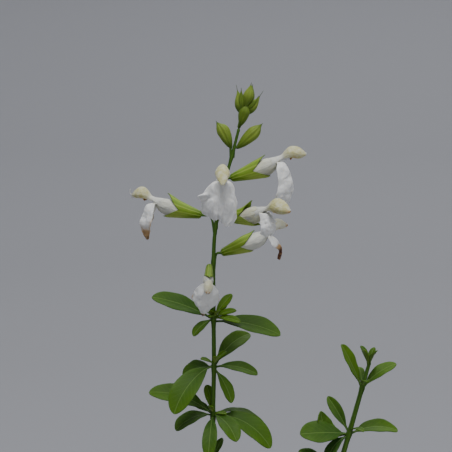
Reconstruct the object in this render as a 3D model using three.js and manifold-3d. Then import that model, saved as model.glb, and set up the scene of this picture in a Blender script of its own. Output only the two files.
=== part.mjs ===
// A white-flowered sage in a plain clay pot, in millimetres, +Z up.
// The origin is the middle of the pot's flat base. +X is the side that the top of the
// tall shoot leans to, and -Y is the side that its front flowers face.

import * as THREE from 'three';
import { mergeVertices } from 'three/addons/utils/BufferGeometryUtils.js';
import Module from 'manifold-3d';

const wasm = await Module();
wasm.setup();

// Pot
const POT_HEIGHT = 110;
const BASE_RADIUS = 41;
const SHOULDER_RADIUS = 56;
const SHOULDER_HEIGHT = 88;
const COLLAR_RADIUS = 60.4;
const RIM_RADIUS = 62;
const RIM_INNER_RADIUS = 56;
const FLOOR_THICKNESS = 6;
const FLOOR_INNER_RADIUS = 37.2;
const ROUND = 1.4;
const POT_SIDES = 32;
const DRAIN_RADIUS = 6.5;
const DRAIN_CIRCLE = 22;
const DRAIN_HOLES = 3;
const DRAIN_SIDES = 12;

// Clearance that neighbouring pieces keep
const GAP = 0.3;

// Soil
const SOIL_LEVEL = 97;
const SOIL_LUMP = 1.1;
const SOIL_SIDE_GAP = 0.36;
const SOIL_RINGS = [42, 22];
const HOLE_CLEARANCE = 0.35;
const HOLE_SIDES = 8;
const HOLE_OVERSHOOT = 6;

// Foliage
const BLADE_THICKNESS = 0.7;
const PETIOLE_HALF_WIDTH = 0.45;
const PETIOLE_SHARE = 0.12;
const TIP_HALF_WIDTH = 0.3;
const WIDENING = 0.9;
const BLUNTNESS = 0.55;
const WIDEST = 0.382;
const FOLD = 0.28;
const STEM_SIDES = 4;
const STEM_CORNER = 1.2;
const LEAF_ROOT = 0.4;

// Flowers
const CALYX_LENGTH = 15;
const CALYX_BASE_RADIUS = 1.2;
const CALYX_FLARE = 0.22;
const CALYX_SLENDER = 0.72;
const CALYX_SIDES = 12;
const PETAL_THICKNESS = 0.6;
const TUBE_SIDES = 8;
const STALK_SIDES = 6;
const BUD_SIDES = 6;
const BUD_FLATNESS = 0.85;

const COLOURS = {
  clay: 0xb5654a,
  soil: 0x3b2a1f,
  leaf: 0x4f7a26,
  calyx: 0x7fa332,
  petal: 0xf1f1ea,
};

const radians = THREE.MathUtils.degToRad;
const vec = (x, y, z) => new THREE.Vector3(x, y, z);

// Solids from meshes and back

function solidOf(geometry) {
  const bare = geometry.clone();
  bare.deleteAttribute('normal');
  bare.deleteAttribute('uv');
  const merged = mergeVertices(bare, 1e-4);
  const corners = merged.index.array;
  const triangles = [];
  for (let i = 0; i < corners.length; i += 3) {
    const [a, b, c] = [corners[i], corners[i + 1], corners[i + 2]];
    if (a !== b && b !== c && c !== a) triangles.push(a, b, c);
  }
  return new wasm.Manifold(new wasm.Mesh({
    numProp: 3,
    vertProperties: new Float32Array(merged.attributes.position.array),
    triVerts: new Uint32Array(triangles),
  }));
}

function geometryOf(solid) {
  const mesh = solid.getMesh();
  const geometry = new THREE.BufferGeometry();
  geometry.setAttribute('position', new THREE.BufferAttribute(mesh.vertProperties, 3));
  geometry.setIndex(new THREE.BufferAttribute(mesh.triVerts, 1));
  geometry.computeVertexNormals();
  return geometry;
}

// Joins solids into one body. The largest shell is its outside, and any pocket that the
// joining seals off inside it is filled.
function joined(solids) {
  const shells = solids.reduce((whole, next) => whole.add(next)).decompose();
  return shells.reduce((most, next) => (next.volume() > most.volume() ? next : most));
}

function meshGeometry(points, triangles) {
  const geometry = new THREE.BufferGeometry().setFromPoints(points);
  geometry.setIndex(triangles);
  return geometry;
}

// A closed skin over rings of equally many points, with a fan over each end.
function loft(rings) {
  const sides = rings[0].length;
  const points = rings.flat();
  const triangles = [];
  for (let i = 0; i < rings.length - 1; i++) {
    for (let j = 0; j < sides; j++) {
      const a = i * sides + j;
      const b = i * sides + (j + 1) % sides;
      triangles.push(a, b, b + sides, a, b + sides, a + sides);
    }
  }
  const middle = (ring) => ring.reduce((sum, p) => sum.add(p), vec(0, 0, 0)).divideScalar(sides);
  const last = (rings.length - 1) * sides;
  const foot = points.push(middle(rings[0])) - 1;
  const head = points.push(middle(rings[rings.length - 1])) - 1;
  for (let j = 0; j < sides; j++) {
    const next = (j + 1) % sides;
    triangles.push(foot, next, j, head, last + j, last + next);
  }
  return meshGeometry(points, triangles);
}

// A thin blade. at(u, v) gives the points of its under and upper face, for u along it
// from 0 to 1 and v across it from -1 to 1. Both faces are split into like triangles.
function sheet(rows, columns, at) {
  const under = [];
  const upper = [];
  for (let i = 0; i <= rows; i++) {
    for (let j = 0; j <= columns; j++) {
      const [low, high] = at(i / rows, 2 * j / columns - 1);
      under.push(low);
      upper.push(high);
    }
  }
  const width = columns + 1;
  const lift = under.length;
  const triangles = [];
  for (let i = 0; i < rows; i++) {
    for (let j = 0; j < columns; j++) {
      const a = i * width + j;
      const [b, c, d] = [a + width, a + width + 1, a + 1];
      triangles.push(a, c, b, a, d, c);
      triangles.push(a + lift, b + lift, c + lift, a + lift, c + lift, d + lift);
    }
  }
  const wall = (p, q) => triangles.push(p, q, q + lift, p, q + lift, p + lift);
  for (let i = 0; i < rows; i++) {
    wall(i * width, (i + 1) * width);
    wall((i + 1) * width + columns, i * width + columns);
  }
  for (let j = 0; j < columns; j++) {
    wall(j + 1, j);
    wall(rows * width + j, rows * width + j + 1);
  }
  return meshGeometry([...under, ...upper], triangles);
}

// A tube through the points of a path.
function tube(points, radii, sides) {
  const rings = points.map((point, i) => {
    const before = points[Math.max(i - 1, 0)];
    const after = points[Math.min(i + 1, points.length - 1)];
    const along = after.clone().sub(before).normalize();
    const steep = Math.abs(along.z) > 0.6;
    const across = (steep ? vec(0, 1, 0) : vec(0, 0, 1)).cross(along).normalize();
    const third = along.clone().cross(across);
    return Array.from({ length: sides }, (_, j) => {
      const angle = 2 * Math.PI * (j + 0.5) / sides;
      return point.clone()
        .addScaledVector(across, radii[i] * Math.cos(angle))
        .addScaledVector(third, radii[i] * Math.sin(angle));
    });
  });
  return loft(rings);
}

// Pot and soil

function potProfile() {
  const rimTop = POT_HEIGHT - ROUND;
  return [
    [0, 0],
    [BASE_RADIUS - ROUND, 0],
    [BASE_RADIUS, ROUND],
    [SHOULDER_RADIUS, SHOULDER_HEIGHT],
    [COLLAR_RADIUS, SHOULDER_HEIGHT + 0.8],
    [RIM_RADIUS, rimTop],
    [RIM_RADIUS - 1, POT_HEIGHT],
    [RIM_INNER_RADIUS + 1, POT_HEIGHT],
    [RIM_INNER_RADIUS, rimTop],
    [FLOOR_INNER_RADIUS, FLOOR_THICKNESS + ROUND],
    [FLOOR_INNER_RADIUS - ROUND, FLOOR_THICKNESS],
    [0, FLOOR_THICKNESS],
  ].map(([r, z]) => new THREE.Vector2(r, z));
}

// LatheGeometry turns its profile round +Y, so it is stood up to turn round +Z.
function turned(profile, sides) {
  return new THREE.LatheGeometry(profile, sides).rotateX(Math.PI / 2);
}

function potWallRadius(z) {
  const floor = FLOOR_THICKNESS + ROUND;
  const share = (z - floor) / (POT_HEIGHT - ROUND - floor);
  return FLOOR_INNER_RADIUS + share * (RIM_INNER_RADIUS - FLOOR_INNER_RADIUS);
}

function pot() {
  const depth = 3 * FLOOR_THICKNESS;
  const drill = new THREE.CylinderGeometry(DRAIN_RADIUS, DRAIN_RADIUS, depth, DRAIN_SIDES);
  drill.rotateX(Math.PI / 2);
  let body = solidOf(turned(potProfile(), POT_SIDES));
  for (let i = 0; i < DRAIN_HOLES; i++) {
    const angle = Math.PI / 2 + 2 * Math.PI * i / DRAIN_HOLES;
    const place = [DRAIN_CIRCLE * Math.cos(angle), DRAIN_CIRCLE * Math.sin(angle), 0];
    body = body.subtract(solidOf(drill.clone().translate(...place)));
  }
  return body;
}

// The soil's top is uneven, with a long swell and smaller clods.
function soilHeight(x, y) {
  const swell = Math.sin(0.11 * x + 1) * Math.cos(0.09 * y);
  const clods = Math.sin(0.31 * x) * Math.sin(0.27 * y + 0.6);
  return SOIL_LEVEL + SOIL_LUMP * (swell + 0.5 * clods);
}

// The soil fills the pot, with a plain hole for the foot of each shoot.
function soil(shoots) {
  const foot = FLOOR_THICKNESS + GAP;
  const side = (z) => [potWallRadius(z) - SOIL_SIDE_GAP, z];
  const top = SOIL_RINGS.map((r) => [r, SOIL_LEVEL]);
  const profile = [[0, foot], [FLOOR_INNER_RADIUS - ROUND - GAP, foot],
    side(FLOOR_THICKNESS + ROUND + GAP), side(SOIL_LEVEL), ...top, [0, SOIL_LEVEL]];
  const points = profile.map(([r, z]) => new THREE.Vector2(r, z));
  const geometry = turned(points, POT_SIDES);
  const position = geometry.attributes.position;
  for (let i = 0; i < position.count; i++) {
    if (position.getZ(i) < SOIL_LEVEL - 1) continue;
    position.setZ(i, soilHeight(position.getX(i), position.getY(i)));
  }
  return shoots.reduce((body, shoot) => {
    const [bottom, surface] = shoot.path;
    const along = surface.clone().sub(bottom).normalize();
    const radius = shoot.radii[0] * STEM_CORNER + HOLE_CLEARANCE;
    const start = bottom.clone().addScaledVector(along, -GAP);
    const end = surface.clone().addScaledVector(along, HOLE_OVERSHOOT);
    return body.subtract(solidOf(tube([start, end], [radius, radius], HOLE_SIDES)));
  }, solidOf(geometry));
}

// Leaves

// A leaf stands out from its stem at an azimuth, bends evenly from one elevation to
// another over its length, and may roll about its own midrib. It is rooted just off the
// middle of the stem, a little above the node if it has a lift.
function leafFrame(base, leaf, t) {
  const [azimuth, start, end, length, , roll = 0, lift = 0] = leaf;
  const heading = radians(azimuth);
  const e0 = radians(start);
  const bend = radians(end - start) || 1e-3;
  const e = e0 + bend * t;
  const reach = length * (Math.sin(e) - Math.sin(e0)) / bend;
  const rise = length * (Math.cos(e0) - Math.cos(e)) / bend;
  const outward = vec(Math.cos(heading), Math.sin(heading), 0);
  const across = vec(-Math.sin(heading), Math.cos(heading), 0);
  const along = outward.clone().multiplyScalar(Math.cos(e)).setZ(Math.sin(e));
  const up = along.clone().cross(across);
  const turn = radians(roll);
  return {
    centre: base.clone().addScaledVector(outward, LEAF_ROOT + reach).add(vec(0, 0, lift + rise)),
    side: across.clone().multiplyScalar(Math.cos(turn)).addScaledVector(up, Math.sin(turn)),
    face: up.clone().multiplyScalar(Math.cos(turn)).addScaledVector(across, -Math.sin(turn)),
  };
}

// Obovate outline, widest past the middle, on a short stalk. The powers set how slowly the
// blade widens and how bluntly it ends, and the divisor makes its widest point 1.
function leafHalfWidth(width, t) {
  const s = (t - PETIOLE_SHARE) / (1 - PETIOLE_SHARE);
  if (s <= 0) return PETIOLE_HALF_WIDTH;
  const outline = Math.pow(s, WIDENING) * Math.pow(1 - s, BLUNTNESS) / WIDEST;
  return Math.max(width / 2 * outline, s < 0.5 ? PETIOLE_HALF_WIDTH : TIP_HALF_WIDTH);
}

// Cross-sections along a blade, by its length: fewer on a shorter leaf.
function leafStations(length) {
  if (length > 19) return [0, 0.16, 0.44, 0.78, 1];
  return length > 11 ? [0, 0.22, 0.68, 1] : [0, 0.62, 1];
}

function leafSolid(base, leaf) {
  const [, , , length, width] = leaf;
  const stations = leafStations(length);
  const rows = stations.length - 1;
  return solidOf(sheet(rows, 2, (u, v) => {
    const t = stations[Math.round(u * rows)];
    const { centre, side, face } = leafFrame(base, leaf, t);
    const half = leafHalfWidth(width, t);
    const folded = t > PETIOLE_SHARE ? FOLD * half * Math.abs(v) : 0;
    const middle = centre.addScaledVector(side, half * v).addScaledVector(face, folded);
    return [-0.5, 0.5].map((s) => middle.clone().addScaledVector(face, s * BLADE_THICKNESS));
  }));
}

// Each seeded draw is a number from 0 to 1.
const DRAW_FACTOR = 16807;
const DRAW_MODULUS = 2147483647;

function seeded(seed) {
  let state = seed;
  return () => {
    state = state * DRAW_FACTOR % DRAW_MODULUS;
    return state / DRAW_MODULUS;
  };
}

// A pair of leaves across the stem, with a small leaf in the crook of each. Leaves on
// the side towards the middle of the plant stay shorter.
const LEAF_SLENDERNESS = 0.34;
const SMALL_SLENDERNESS = 0.36;
const SMALL_SHARE = 0.42;
const SMALL_TURN = 48;
const SMALL_LIFT = 1.6;

function leafPair(draw, azimuth, length, inward) {
  const sway = () => 24 * (draw() - 0.5);
  const leaves = [];
  for (const turn of [0, 180]) {
    const heading = azimuth + turn + sway();
    const shaded = Math.max(0, Math.cos(radians(heading - inward)));
    const size = length * (1 - 0.4 * shaded) * (0.9 + 0.2 * draw());
    const start = 28 + 20 * draw();
    const end = start - 52 - 16 * draw();
    leaves.push([heading, start, end, size, LEAF_SLENDERNESS * size, sway()]);
    const small = SMALL_SHARE * size;
    const upright = 58 + 14 * draw();
    leaves.push([heading + SMALL_TURN, upright, 12, small, SMALL_SLENDERNESS * small, 0, SMALL_LIFT]);
  }
  return leaves;
}

// The four young leaves that close the end of a shoot.
function leafTuft(draw, azimuth, length) {
  return [0, 90, 180, 270].map((turn) => {
    const size = length * (0.8 + 0.4 * draw());
    return [azimuth + turn, 82, 34 + 20 * draw(), size, SMALL_SLENDERNESS * size];
  });
}

// Shoots

function shootCurve(shoot) {
  return new THREE.CatmullRomCurve3(shoot.path, false, 'catmullrom', 0.5);
}

// A square stem through the points of the shoot's path, with its leaves.
function shootSolid(shoot) {
  const curve = shootCurve(shoot);
  const steps = shoot.path.length - 1;
  const points = [];
  const radii = [];
  for (let i = 0; i <= steps; i++) {
    points.push(curve.getPoint(i / steps));
    radii.push(STEM_CORNER * shoot.radii[i]);
    if (i === steps) break;
    points.push(curve.getPoint((i + 0.5) / steps));
    radii.push(STEM_CORNER * (shoot.radii[i] + shoot.radii[i + 1]) / 2);
  }
  const stem = solidOf(tube(points, radii, STEM_SIDES));
  const leaves = shoot.leaves.map(({ base, leaf }) => leafSolid(base, leaf));
  return joined([stem, ...leaves]);
}

function attached(base, rows) {
  return rows.map((leaf) => ({ base, leaf }));
}

// The tall flowering shoot. Each row of a leaf gives its azimuth, its elevation at the
// stem and at the tip, its length, its width, its roll and its lift above the node.
const NODE_A = vec(0, 0, 224.3);
const NODE_B = vec(0.4, 0, 243.7);
const NODE_C = vec(0.3, 0, 262);
const NODE_D = vec(0.3, 0, 284.3);
const NODE_E = vec(1.1, 0, 297.6);
const NODE_F = vec(3.9, 0, 312.3);
const NODE_G = vec(7, 0, 323.5);
const NODE_Z = vec(0.1, 0, 206.4);
const TALL_TIP = vec(9.9, 0, 334.8);

function tallShoot() {
  const lower = [vec(-0.8, 0.6, 121), vec(-1.4, 1, 138), vec(-1.5, 1, 155), vec(-1, 0.7, 172),
    vec(-0.4, 0.3, 189)];
  const path = [vec(0, 0, 68), vec(0, 0, 98), ...lower, NODE_Z, NODE_A, NODE_B, NODE_C,
    NODE_D, NODE_E, NODE_F, NODE_G, TALL_TIP];
  const radii = [2.2, 2.2, 1.9, 1.7, 1.5, 1.35, 1.2, 1, 0.95, 0.9, 0.85, 0.8, 0.75, 0.7, 0.62, 0.55];
  const draw = seeded(71);
  const hidden = lower.slice(1).flatMap((base, i) => (
    attached(base, leafPair(draw, 40 + 90 * i, 19 + 1.4 * i, 0))
  ));
  const leaves = [
    ...hidden,
    ...attached(NODE_Z, [
      [-42, -8, -52, 23, 8, 10],
      [140, -12, -56, 23, 8, -10],
      [58, 62, 30, 9, 3, 0, 0.6],
    ]),
    ...attached(NODE_A, [
      [169, 36, -6, 26.6, 8, -38, 1],
      [-15, 6, -60, 26.4, 8.6, 34, 0.6],
      [-153, 20, -48, 16.6, 6.5, -8, 0.4],
      [-96, 0, -78, 20, 5.5, 0, 0],
      [-68, 10, -56, 16.2, 7.4, 6, 0.6],
      [18, 12, -42, 20, 6.2, 0, 1.2],
      [116, 75, 43, 10.6, 4.4, 0, 1.8],
      [155, 30, 10, 9, 4, -20, 1],
      [-30, 32, -10, 6, 2.4, 10, 0.6],
    ]),
    ...attached(NODE_B, [
      [-140, -10, -68, 25, 10.5, -26, 0],
      [46, 50, 2, 21.8, 6.6, 20, 0.5],
      [-9, 12, -28, 16.8, 5, 6, 0],
      [-32, -44, -72, 14.4, 4.6, 16, -0.8],
      [170, 12, -46, 13.6, 5, -8, 0.6],
    ]),
    ...attached(NODE_C, [
      [-175, 33, 9, 24.8, 8, -40, 0.4],
      [-9, 11, -30, 25.6, 8.2, 24, 0],
      [-158, -18, -56, 10, 4.4, -20, 0.4],
      [7, 54, 36, 10.8, 3.4, 40, 1.4],
      [24, 34, 6, 9.1, 2.2, 10, 1],
      [-27, 14, -20, 11.2, 2.7, 30, 0.8],
      [165, 44, 20, 9.2, 3.4, -40, 1.6],
      [-104, 40, -20, 5.2, 2.4, 0, 1.2],
    ]),
  ];
  return { name: 'shoot_tall', path, radii, leaves };
}

// The second shoot leans to the right.
const NODE_R1 = vec(52.5, 0, 217.1);
const NODE_R2 = vec(57.2, 0, 235.4);

function rightShoot() {
  const lower = [vec(20.9, 2.3, 118), vec(28.2, 1.7, 137), vec(35.2, 1, 157), vec(41.6, 0.4, 178),
    vec(47.6, 0, 199)];
  const path = [vec(8.2, 3.8, 79), vec(14, 3, 97.5), ...lower, NODE_R1, NODE_R2, vec(60, 0, 246)];
  const radii = [1.8, 1.8, 1.6, 1.45, 1.3, 1.15, 1.05, 0.95, 0.85, 0.6];
  const draw = seeded(23);
  const inward = 180;
  const hidden = lower.slice(1, 4).flatMap((base, i) => (
    attached(base, leafPair(draw, 75 + 90 * i, 21 + i, inward))
  ));
  const leaves = [
    ...hidden,
    ...attached(lower[4], [
      [180, 58, 18, 18.4, 6.6, -24, 0],
      [4, 20, -38, 21, 7.4, 10, 0],
      [90, 50, -6, 10, 3.8, 0, 1.6],
      [-90, 30, -40, 12, 4.4, 0, 0.8],
    ]),
    ...attached(NODE_R1, [
      [-168, 22, -10, 19.8, 9.6, -34, 0],
      [144, 33, 13, 14.8, 6, -36, 0.6],
      [160, 66, 46, 15.4, 4.6, -40, 1.2],
      [-162, -18, -64, 13, 4.8, -10, -0.6],
      [10, 24, -24, 20, 7.4, 20, 0],
      [-60, 40, -10, 9, 3.4, 0, 1.4],
    ]),
    ...attached(NODE_R2, [
      [-166, 69, 59, 19.2, 5.6, -50, 0.4],
      [14, 52, 12, 16.4, 5.6, 20, 0],
      [92, 56, 10, 9, 3.4, 0, 1.2],
      [-88, 50, 0, 9, 3.4, 0, 1.2],
    ]),
    ...attached(vec(59.6, 0, 244.5), leafTuft(draw, 45, 7)),
  ];
  return { name: 'shoot_right', path, radii, leaves };
}

// Short leafy shoots lean outwards from holes round the tall one.
const SHORT_SHOOTS = [
  { name: 'shoot_left', azimuth: 160, distance: 15, lean: 21, height: 84, seed: 11, turn: 60 },
  { name: 'shoot_front', azimuth: -116, distance: 15, lean: 26, height: 70, seed: 37, turn: 50 },
  { name: 'shoot_back', azimuth: 76, distance: 16, lean: 24, height: 76, seed: 53, turn: 55 },
  { name: 'shoot_low_right', azimuth: -44, distance: 16, lean: 32, height: 58, seed: 67, turn: 50 },
];
const SHORT_NODES = 5;
const ROOTED_DEPTH = 17;

function shortShoot({ name, azimuth, distance, lean, height, seed, turn }) {
  const heading = radians(azimuth);
  const at = (rise) => {
    const bow = 1 - 0.25 * Math.sin(Math.PI * THREE.MathUtils.clamp(rise / height, 0, 1));
    const reach = distance + rise * Math.tan(radians(lean)) * bow;
    return vec(reach * Math.cos(heading), reach * Math.sin(heading), SOIL_LEVEL + 0.5 + rise);
  };
  const surface = at(0);
  const step = height / (SHORT_NODES + 1);
  const nodes = Array.from({ length: SHORT_NODES + 1 }, (_, i) => at(step * (i + 1)));
  const down = surface.clone().sub(nodes[0]).setLength(ROOTED_DEPTH);
  const path = [surface.clone().add(down), surface, ...nodes];
  const radii = path.map((_, i) => 1.7 - 0.15 * i);
  const draw = seeded(seed);
  const leaves = nodes.slice(1, SHORT_NODES).flatMap((base, i) => (
    attached(base, leafPair(draw, azimuth + turn + 90 * i, 23 - 1.6 * i, azimuth + 180))
  ));
  const tip = nodes[SHORT_NODES].clone().lerp(nodes[SHORT_NODES - 1], 0.08);
  leaves.push(...attached(tip, leafTuft(draw, azimuth + 30, 10)));
  return { name, path, radii, leaves };
}

// Flowers. In a flower's own frame the calyx starts at the origin, +X runs along the
// tube and +Z is the side of the hood.

function flowerFrame({ base, azimuth, elevation, roll = 0, scale = 1 }) {
  const heading = radians(azimuth);
  const e = radians(elevation);
  const along = vec(Math.cos(e) * Math.cos(heading), Math.cos(e) * Math.sin(heading), Math.sin(e));
  const across = vec(-Math.sin(heading), Math.cos(heading), 0).applyAxisAngle(along, -radians(roll));
  const up = along.clone().cross(across);
  const size = vec(scale, scale, scale);
  return new THREE.Matrix4().makeBasis(along, across, up).scale(size).setPosition(base);
}

// Length of the calyx at an angle from its top, as a share of the whole: one broad upper
// tooth, a deep notch at each side, and two lower teeth with a shallow notch between.
const SIDE_NOTCH = 92;
const LOWER_TOOTH = 148;
const LOWER_NOTCH = 180;

function calyxEdge(angle) {
  if (angle < SIDE_NOTCH) return 1 - 0.46 * Math.pow(angle / SIDE_NOTCH, 1.25);
  const lower = 0.97 - 0.42 * Math.abs(angle - LOWER_TOOTH) / (LOWER_TOOTH - SIDE_NOTCH);
  const between = 0.8 + 0.17 * (LOWER_NOTCH - angle) / (LOWER_NOTCH - LOWER_TOOTH);
  return Math.min(lower, between);
}

// Below this share of its length the calyx is an even cup, and above it the edge shows.
const CUP_SHARE = 0.3;

function calyxRing(share, inset) {
  return Array.from({ length: CALYX_SIDES }, (_, j) => {
    const angle = 2 * Math.PI * j / CALYX_SIDES;
    const degrees = THREE.MathUtils.radToDeg(angle);
    const fromTop = Math.min(degrees, 360 - degrees);
    const x = CALYX_LENGTH * share * (share < CUP_SHARE ? 1 : calyxEdge(fromTop));
    const radius = CALYX_BASE_RADIUS + CALYX_FLARE * x - inset;
    return vec(x, -CALYX_SLENDER * radius * Math.sin(angle), radius * Math.cos(angle));
  });
}

function calyxSolid({ scale = 1 }) {
  const wall = PETAL_THICKNESS / scale;
  const outside = [0, 0.35, 0.7, 1].map((share) => calyxRing(share, 0));
  const inside = [1, 0.6].map((share) => calyxRing(share, wall));
  const floor = calyxRing(0.06, wall);
  return solidOf(loft([...outside, ...inside, floor]));
}

// Stations of the tube: distance along it, height of its centre, half width, half height.
const TUBE = [[1.3, 0, 0.3, 0.4], [5, 0, 0.7, 1.2], [10, 0, 1.45, 2.15], [15.5, -0.2, 2.2, 3],
  [18.2, -0.3, 2.5, 2.9]];
const THROAT = [[11, 0, 0.7, 1.2], [15.5, -0.2, 1.6, 2.35], [19, -0.3, 1.95, 2.35]];

// Stations of the hood: distance, centre, half width, half height and the angle from its
// top to which it wraps down on each side.
const HOOD = [[16, -0.2, 1.95, 2.75, 78], [19, 0.8, 1.8, 2, 84], [22, 1.5, 1.35, 1.25, 105],
  [25.2, 2.1, 2, 2, 122], [28, 2.4, 2.1, 2.05, 124], [30, 1.8, 0.75, 0.85, 118]];

// Stations of the lip: distance, height, half width, fall of its edges and how far they
// curl back.
const LIP = [[16.4, -3, 1.8, -1.6, 0], [18.8, -2.1, 2.5, -0.9, 0], [20.8, 0, 4.2, 1.6, 0.6],
  [23, -2.4, 6.2, 2, 1.6], [23.2, -7, 7.2, 0.4, 2.2], [21.6, -11.6, 6.4, -1, 2],
  [20.2, -14.8, 4, -1, 1]];
const HINGE = 2;

function ringAt([x, centre, halfWidth, halfHeight]) {
  return Array.from({ length: TUBE_SIDES }, (_, j) => {
    const angle = 2 * Math.PI * (j + 0.5) / TUBE_SIDES;
    return vec(x, -halfWidth * Math.sin(angle), centre + halfHeight * Math.cos(angle));
  });
}

// The hood arches over the mouth of the tube, and its sides wrap down.
function hoodSheet({ scale = 1 }) {
  const rows = HOOD.length - 1;
  const half = PETAL_THICKNESS / scale / 2;
  return sheet(rows, 4, (u, v) => {
    const [x, centre, halfWidth, halfHeight, wrap] = HOOD[Math.round(u * rows)];
    const angle = radians(wrap) * v;
    const outward = vec(0, -Math.sin(angle), Math.cos(angle));
    const middle = vec(x, outward.y * halfWidth, centre + outward.z * halfHeight);
    return [half, -half].map((rise) => middle.clone().addScaledVector(outward, rise));
  });
}

// The lip leaves the floor of the throat, bends at its hinge and hangs down. Past the
// hinge its length and width differ from flower to flower.
function lipSheet({ lipLength = 1, lipWidth = 1, scale = 1 }) {
  const rows = LIP.length - 1;
  const half = PETAL_THICKNESS / scale / 2;
  const hinge = LIP[HINGE];
  const station = (i) => {
    const [x, z, halfWidth, fall, curl] = LIP[Math.min(Math.max(i, 0), rows)];
    const loose = i > HINGE;
    return {
      x: loose ? hinge[0] + (x - hinge[0]) * lipLength : x,
      z: loose ? hinge[1] + (z - hinge[1]) * lipLength : z,
      width: i < HINGE ? halfWidth : halfWidth * lipWidth,
      fall,
      curl: curl * lipLength,
    };
  };
  return sheet(rows, 4, (u, v) => {
    const i = Math.round(u * rows);
    const [before, here, after] = [station(i - 1), station(i), station(i + 1)];
    const along = vec(after.x - before.x, 0, after.z - before.z).normalize();
    const outward = vec(-along.z, 0, along.x);
    const middle = vec(here.x - here.curl * v * v, here.width * v, here.z - here.fall * v * v);
    return [-half, half].map((rise) => middle.clone().addScaledVector(outward, rise));
  });
}

// One white body: the tube, opened from its mouth, with its hood and its lip.
function corollaSolid(flower) {
  const tubeSkin = solidOf(loft(TUBE.map(ringAt)));
  const throat = solidOf(loft(THROAT.map(ringAt)));
  const hood = solidOf(hoodSheet(flower));
  const lip = solidOf(lipSheet(flower));
  return joined([tubeSkin.subtract(throat), hood, lip]);
}

const FLOWERS = [
  { name: 'low_front', base: vec(-1.1, -3, 284.4), azimuth: -92, elevation: -24, roll: 9,
    stalk: vec(-0.1, -1.15, 284.4), scale: 0.7 },
  { name: 'low_right', base: vec(3, 0.3, 287.6), azimuth: 12, elevation: 21,
    stalk: vec(1.4, 0.1, 285.2), lipLength: 0.8, lipWidth: 0.6 },
  { name: 'mid_left', base: vec(-4, 0.4, 301.7), azimuth: 162, elevation: 12.5,
    stalk: vec(-0.1, 0.1, 297.2), lipLength: 0.95, lipWidth: 0.55 },
  { name: 'mid_right', base: vec(4.9, -2, 299.7), azimuth: -42, elevation: 13,
    stalk: vec(2.1, -0.5, 297), lipLength: 0.85, lipWidth: 0.85 },
  { name: 'top_front', base: vec(3.2, -3, 311.2), azimuth: -90, elevation: 14,
    stalk: vec(3.6, -1.15, 310.7), lipLength: 1.06 },
  { name: 'top_right', base: vec(6.5, 0, 315.6), azimuth: 0, elevation: 19,
    stalk: vec(5.9, 0, 315.3) },
];

function calyxOnStalk(flower) {
  const { base, stalk } = flower;
  const middle = stalk.clone().lerp(base, 0.5);
  const end = vec(0.5, 0, 0).applyMatrix4(flowerFrame(flower));
  const stem = solidOf(tube([stalk, middle, end], [0.42, 0.45, 0.6], STALK_SIDES));
  return calyxSolid(flower).transform(flowerFrame(flower).elements).add(stem);
}

// Buds

function budSolid({ base, azimuth, elevation, length, width }) {
  const profile = [[0, 0.3], [0.14, 0.8], [0.4, 1], [0.74, 0.62], [1, 0.1]];
  const frame = flowerFrame({ base, azimuth, elevation });
  const rings = profile.map(([share, fullness]) => Array.from({ length: BUD_SIDES }, (_, j) => {
    const angle = 2 * Math.PI * (j + 0.5) / BUD_SIDES;
    const radius = width / 2 * fullness;
    return vec(length * share, -BUD_FLATNESS * radius * Math.sin(angle), radius * Math.cos(angle));
  }));
  return solidOf(loft(rings)).transform(frame.elements);
}

const SIDE_BUDS = [
  { name: 'bud_left', base: vec(6.2, 0, 327.4), azimuth: 180, elevation: 64, length: 10.8,
    width: 4, stalk: vec(6, 0, 323.9) },
  { name: 'bud_right', base: vec(9.5, 0, 326.8), azimuth: 0, elevation: 44, length: 12.4,
    width: 4.5, stalk: vec(8.2, 0, 324.2) },
];

function sideBud(bud) {
  const end = vec(0.6, 0, 0).applyMatrix4(flowerFrame(bud));
  return budSolid(bud).add(solidOf(tube([bud.stalk, end], [0.4, 0.5], STALK_SIDES)));
}

const TIP_BUDS = [
  { base: vec(12.2, -0.4, 341.6), azimuth: -30, elevation: 78, length: 9.8, width: 4.8 },
  { base: vec(10.9, 0.2, 340.2), azimuth: 176, elevation: 78, length: 9.6, width: 4.2 },
  { base: vec(12.8, 0.2, 340.4), azimuth: 4, elevation: 50, length: 8.8, width: 3.6 },
  { base: vec(12.2, 0.9, 340.8), azimuth: 96, elevation: 62, length: 8, width: 3.2 },
  { base: vec(11, -0.5, 337.4), azimuth: -20, elevation: 66, length: 6, width: 3.4 },
];

function tipCluster() {
  const along = TALL_TIP.clone().sub(NODE_G).normalize();
  const foot = TALL_TIP.clone().addScaledVector(along, GAP);
  const top = vec(12.2, 0, 342);
  return joined([solidOf(tube([foot, top], [0.6, 0.9], STALK_SIDES)), ...TIP_BUDS.map(budSolid)]);
}

// The whole plant

const group = new THREE.Group();

function place(name, solid, colour, roughness) {
  const material = new THREE.MeshStandardMaterial({ color: colour, roughness, metalness: 0 });
  const mesh = new THREE.Mesh(geometryOf(solid), material);
  mesh.name = name;
  group.add(mesh);
}

const shoots = [tallShoot(), rightShoot(), ...SHORT_SHOOTS.map(shortShoot)];

place('pot', pot(), COLOURS.clay, 0.9);
place('soil', soil(shoots), COLOURS.soil, 1);
shoots.forEach((shoot) => place(shoot.name, shootSolid(shoot), COLOURS.leaf, 0.6));

FLOWERS.forEach((flower) => {
  const frame = flowerFrame(flower);
  place(`calyx_${flower.name}`, calyxOnStalk(flower), COLOURS.calyx, 0.6);
  place(`corolla_${flower.name}`, corollaSolid(flower).transform(frame.elements), COLOURS.petal, 0.7);
});

SIDE_BUDS.forEach((bud) => place(bud.name, sideBud(bud), COLOURS.calyx, 0.6));
place('bud_cluster', tipCluster(), COLOURS.calyx, 0.6);

export default group;
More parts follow.
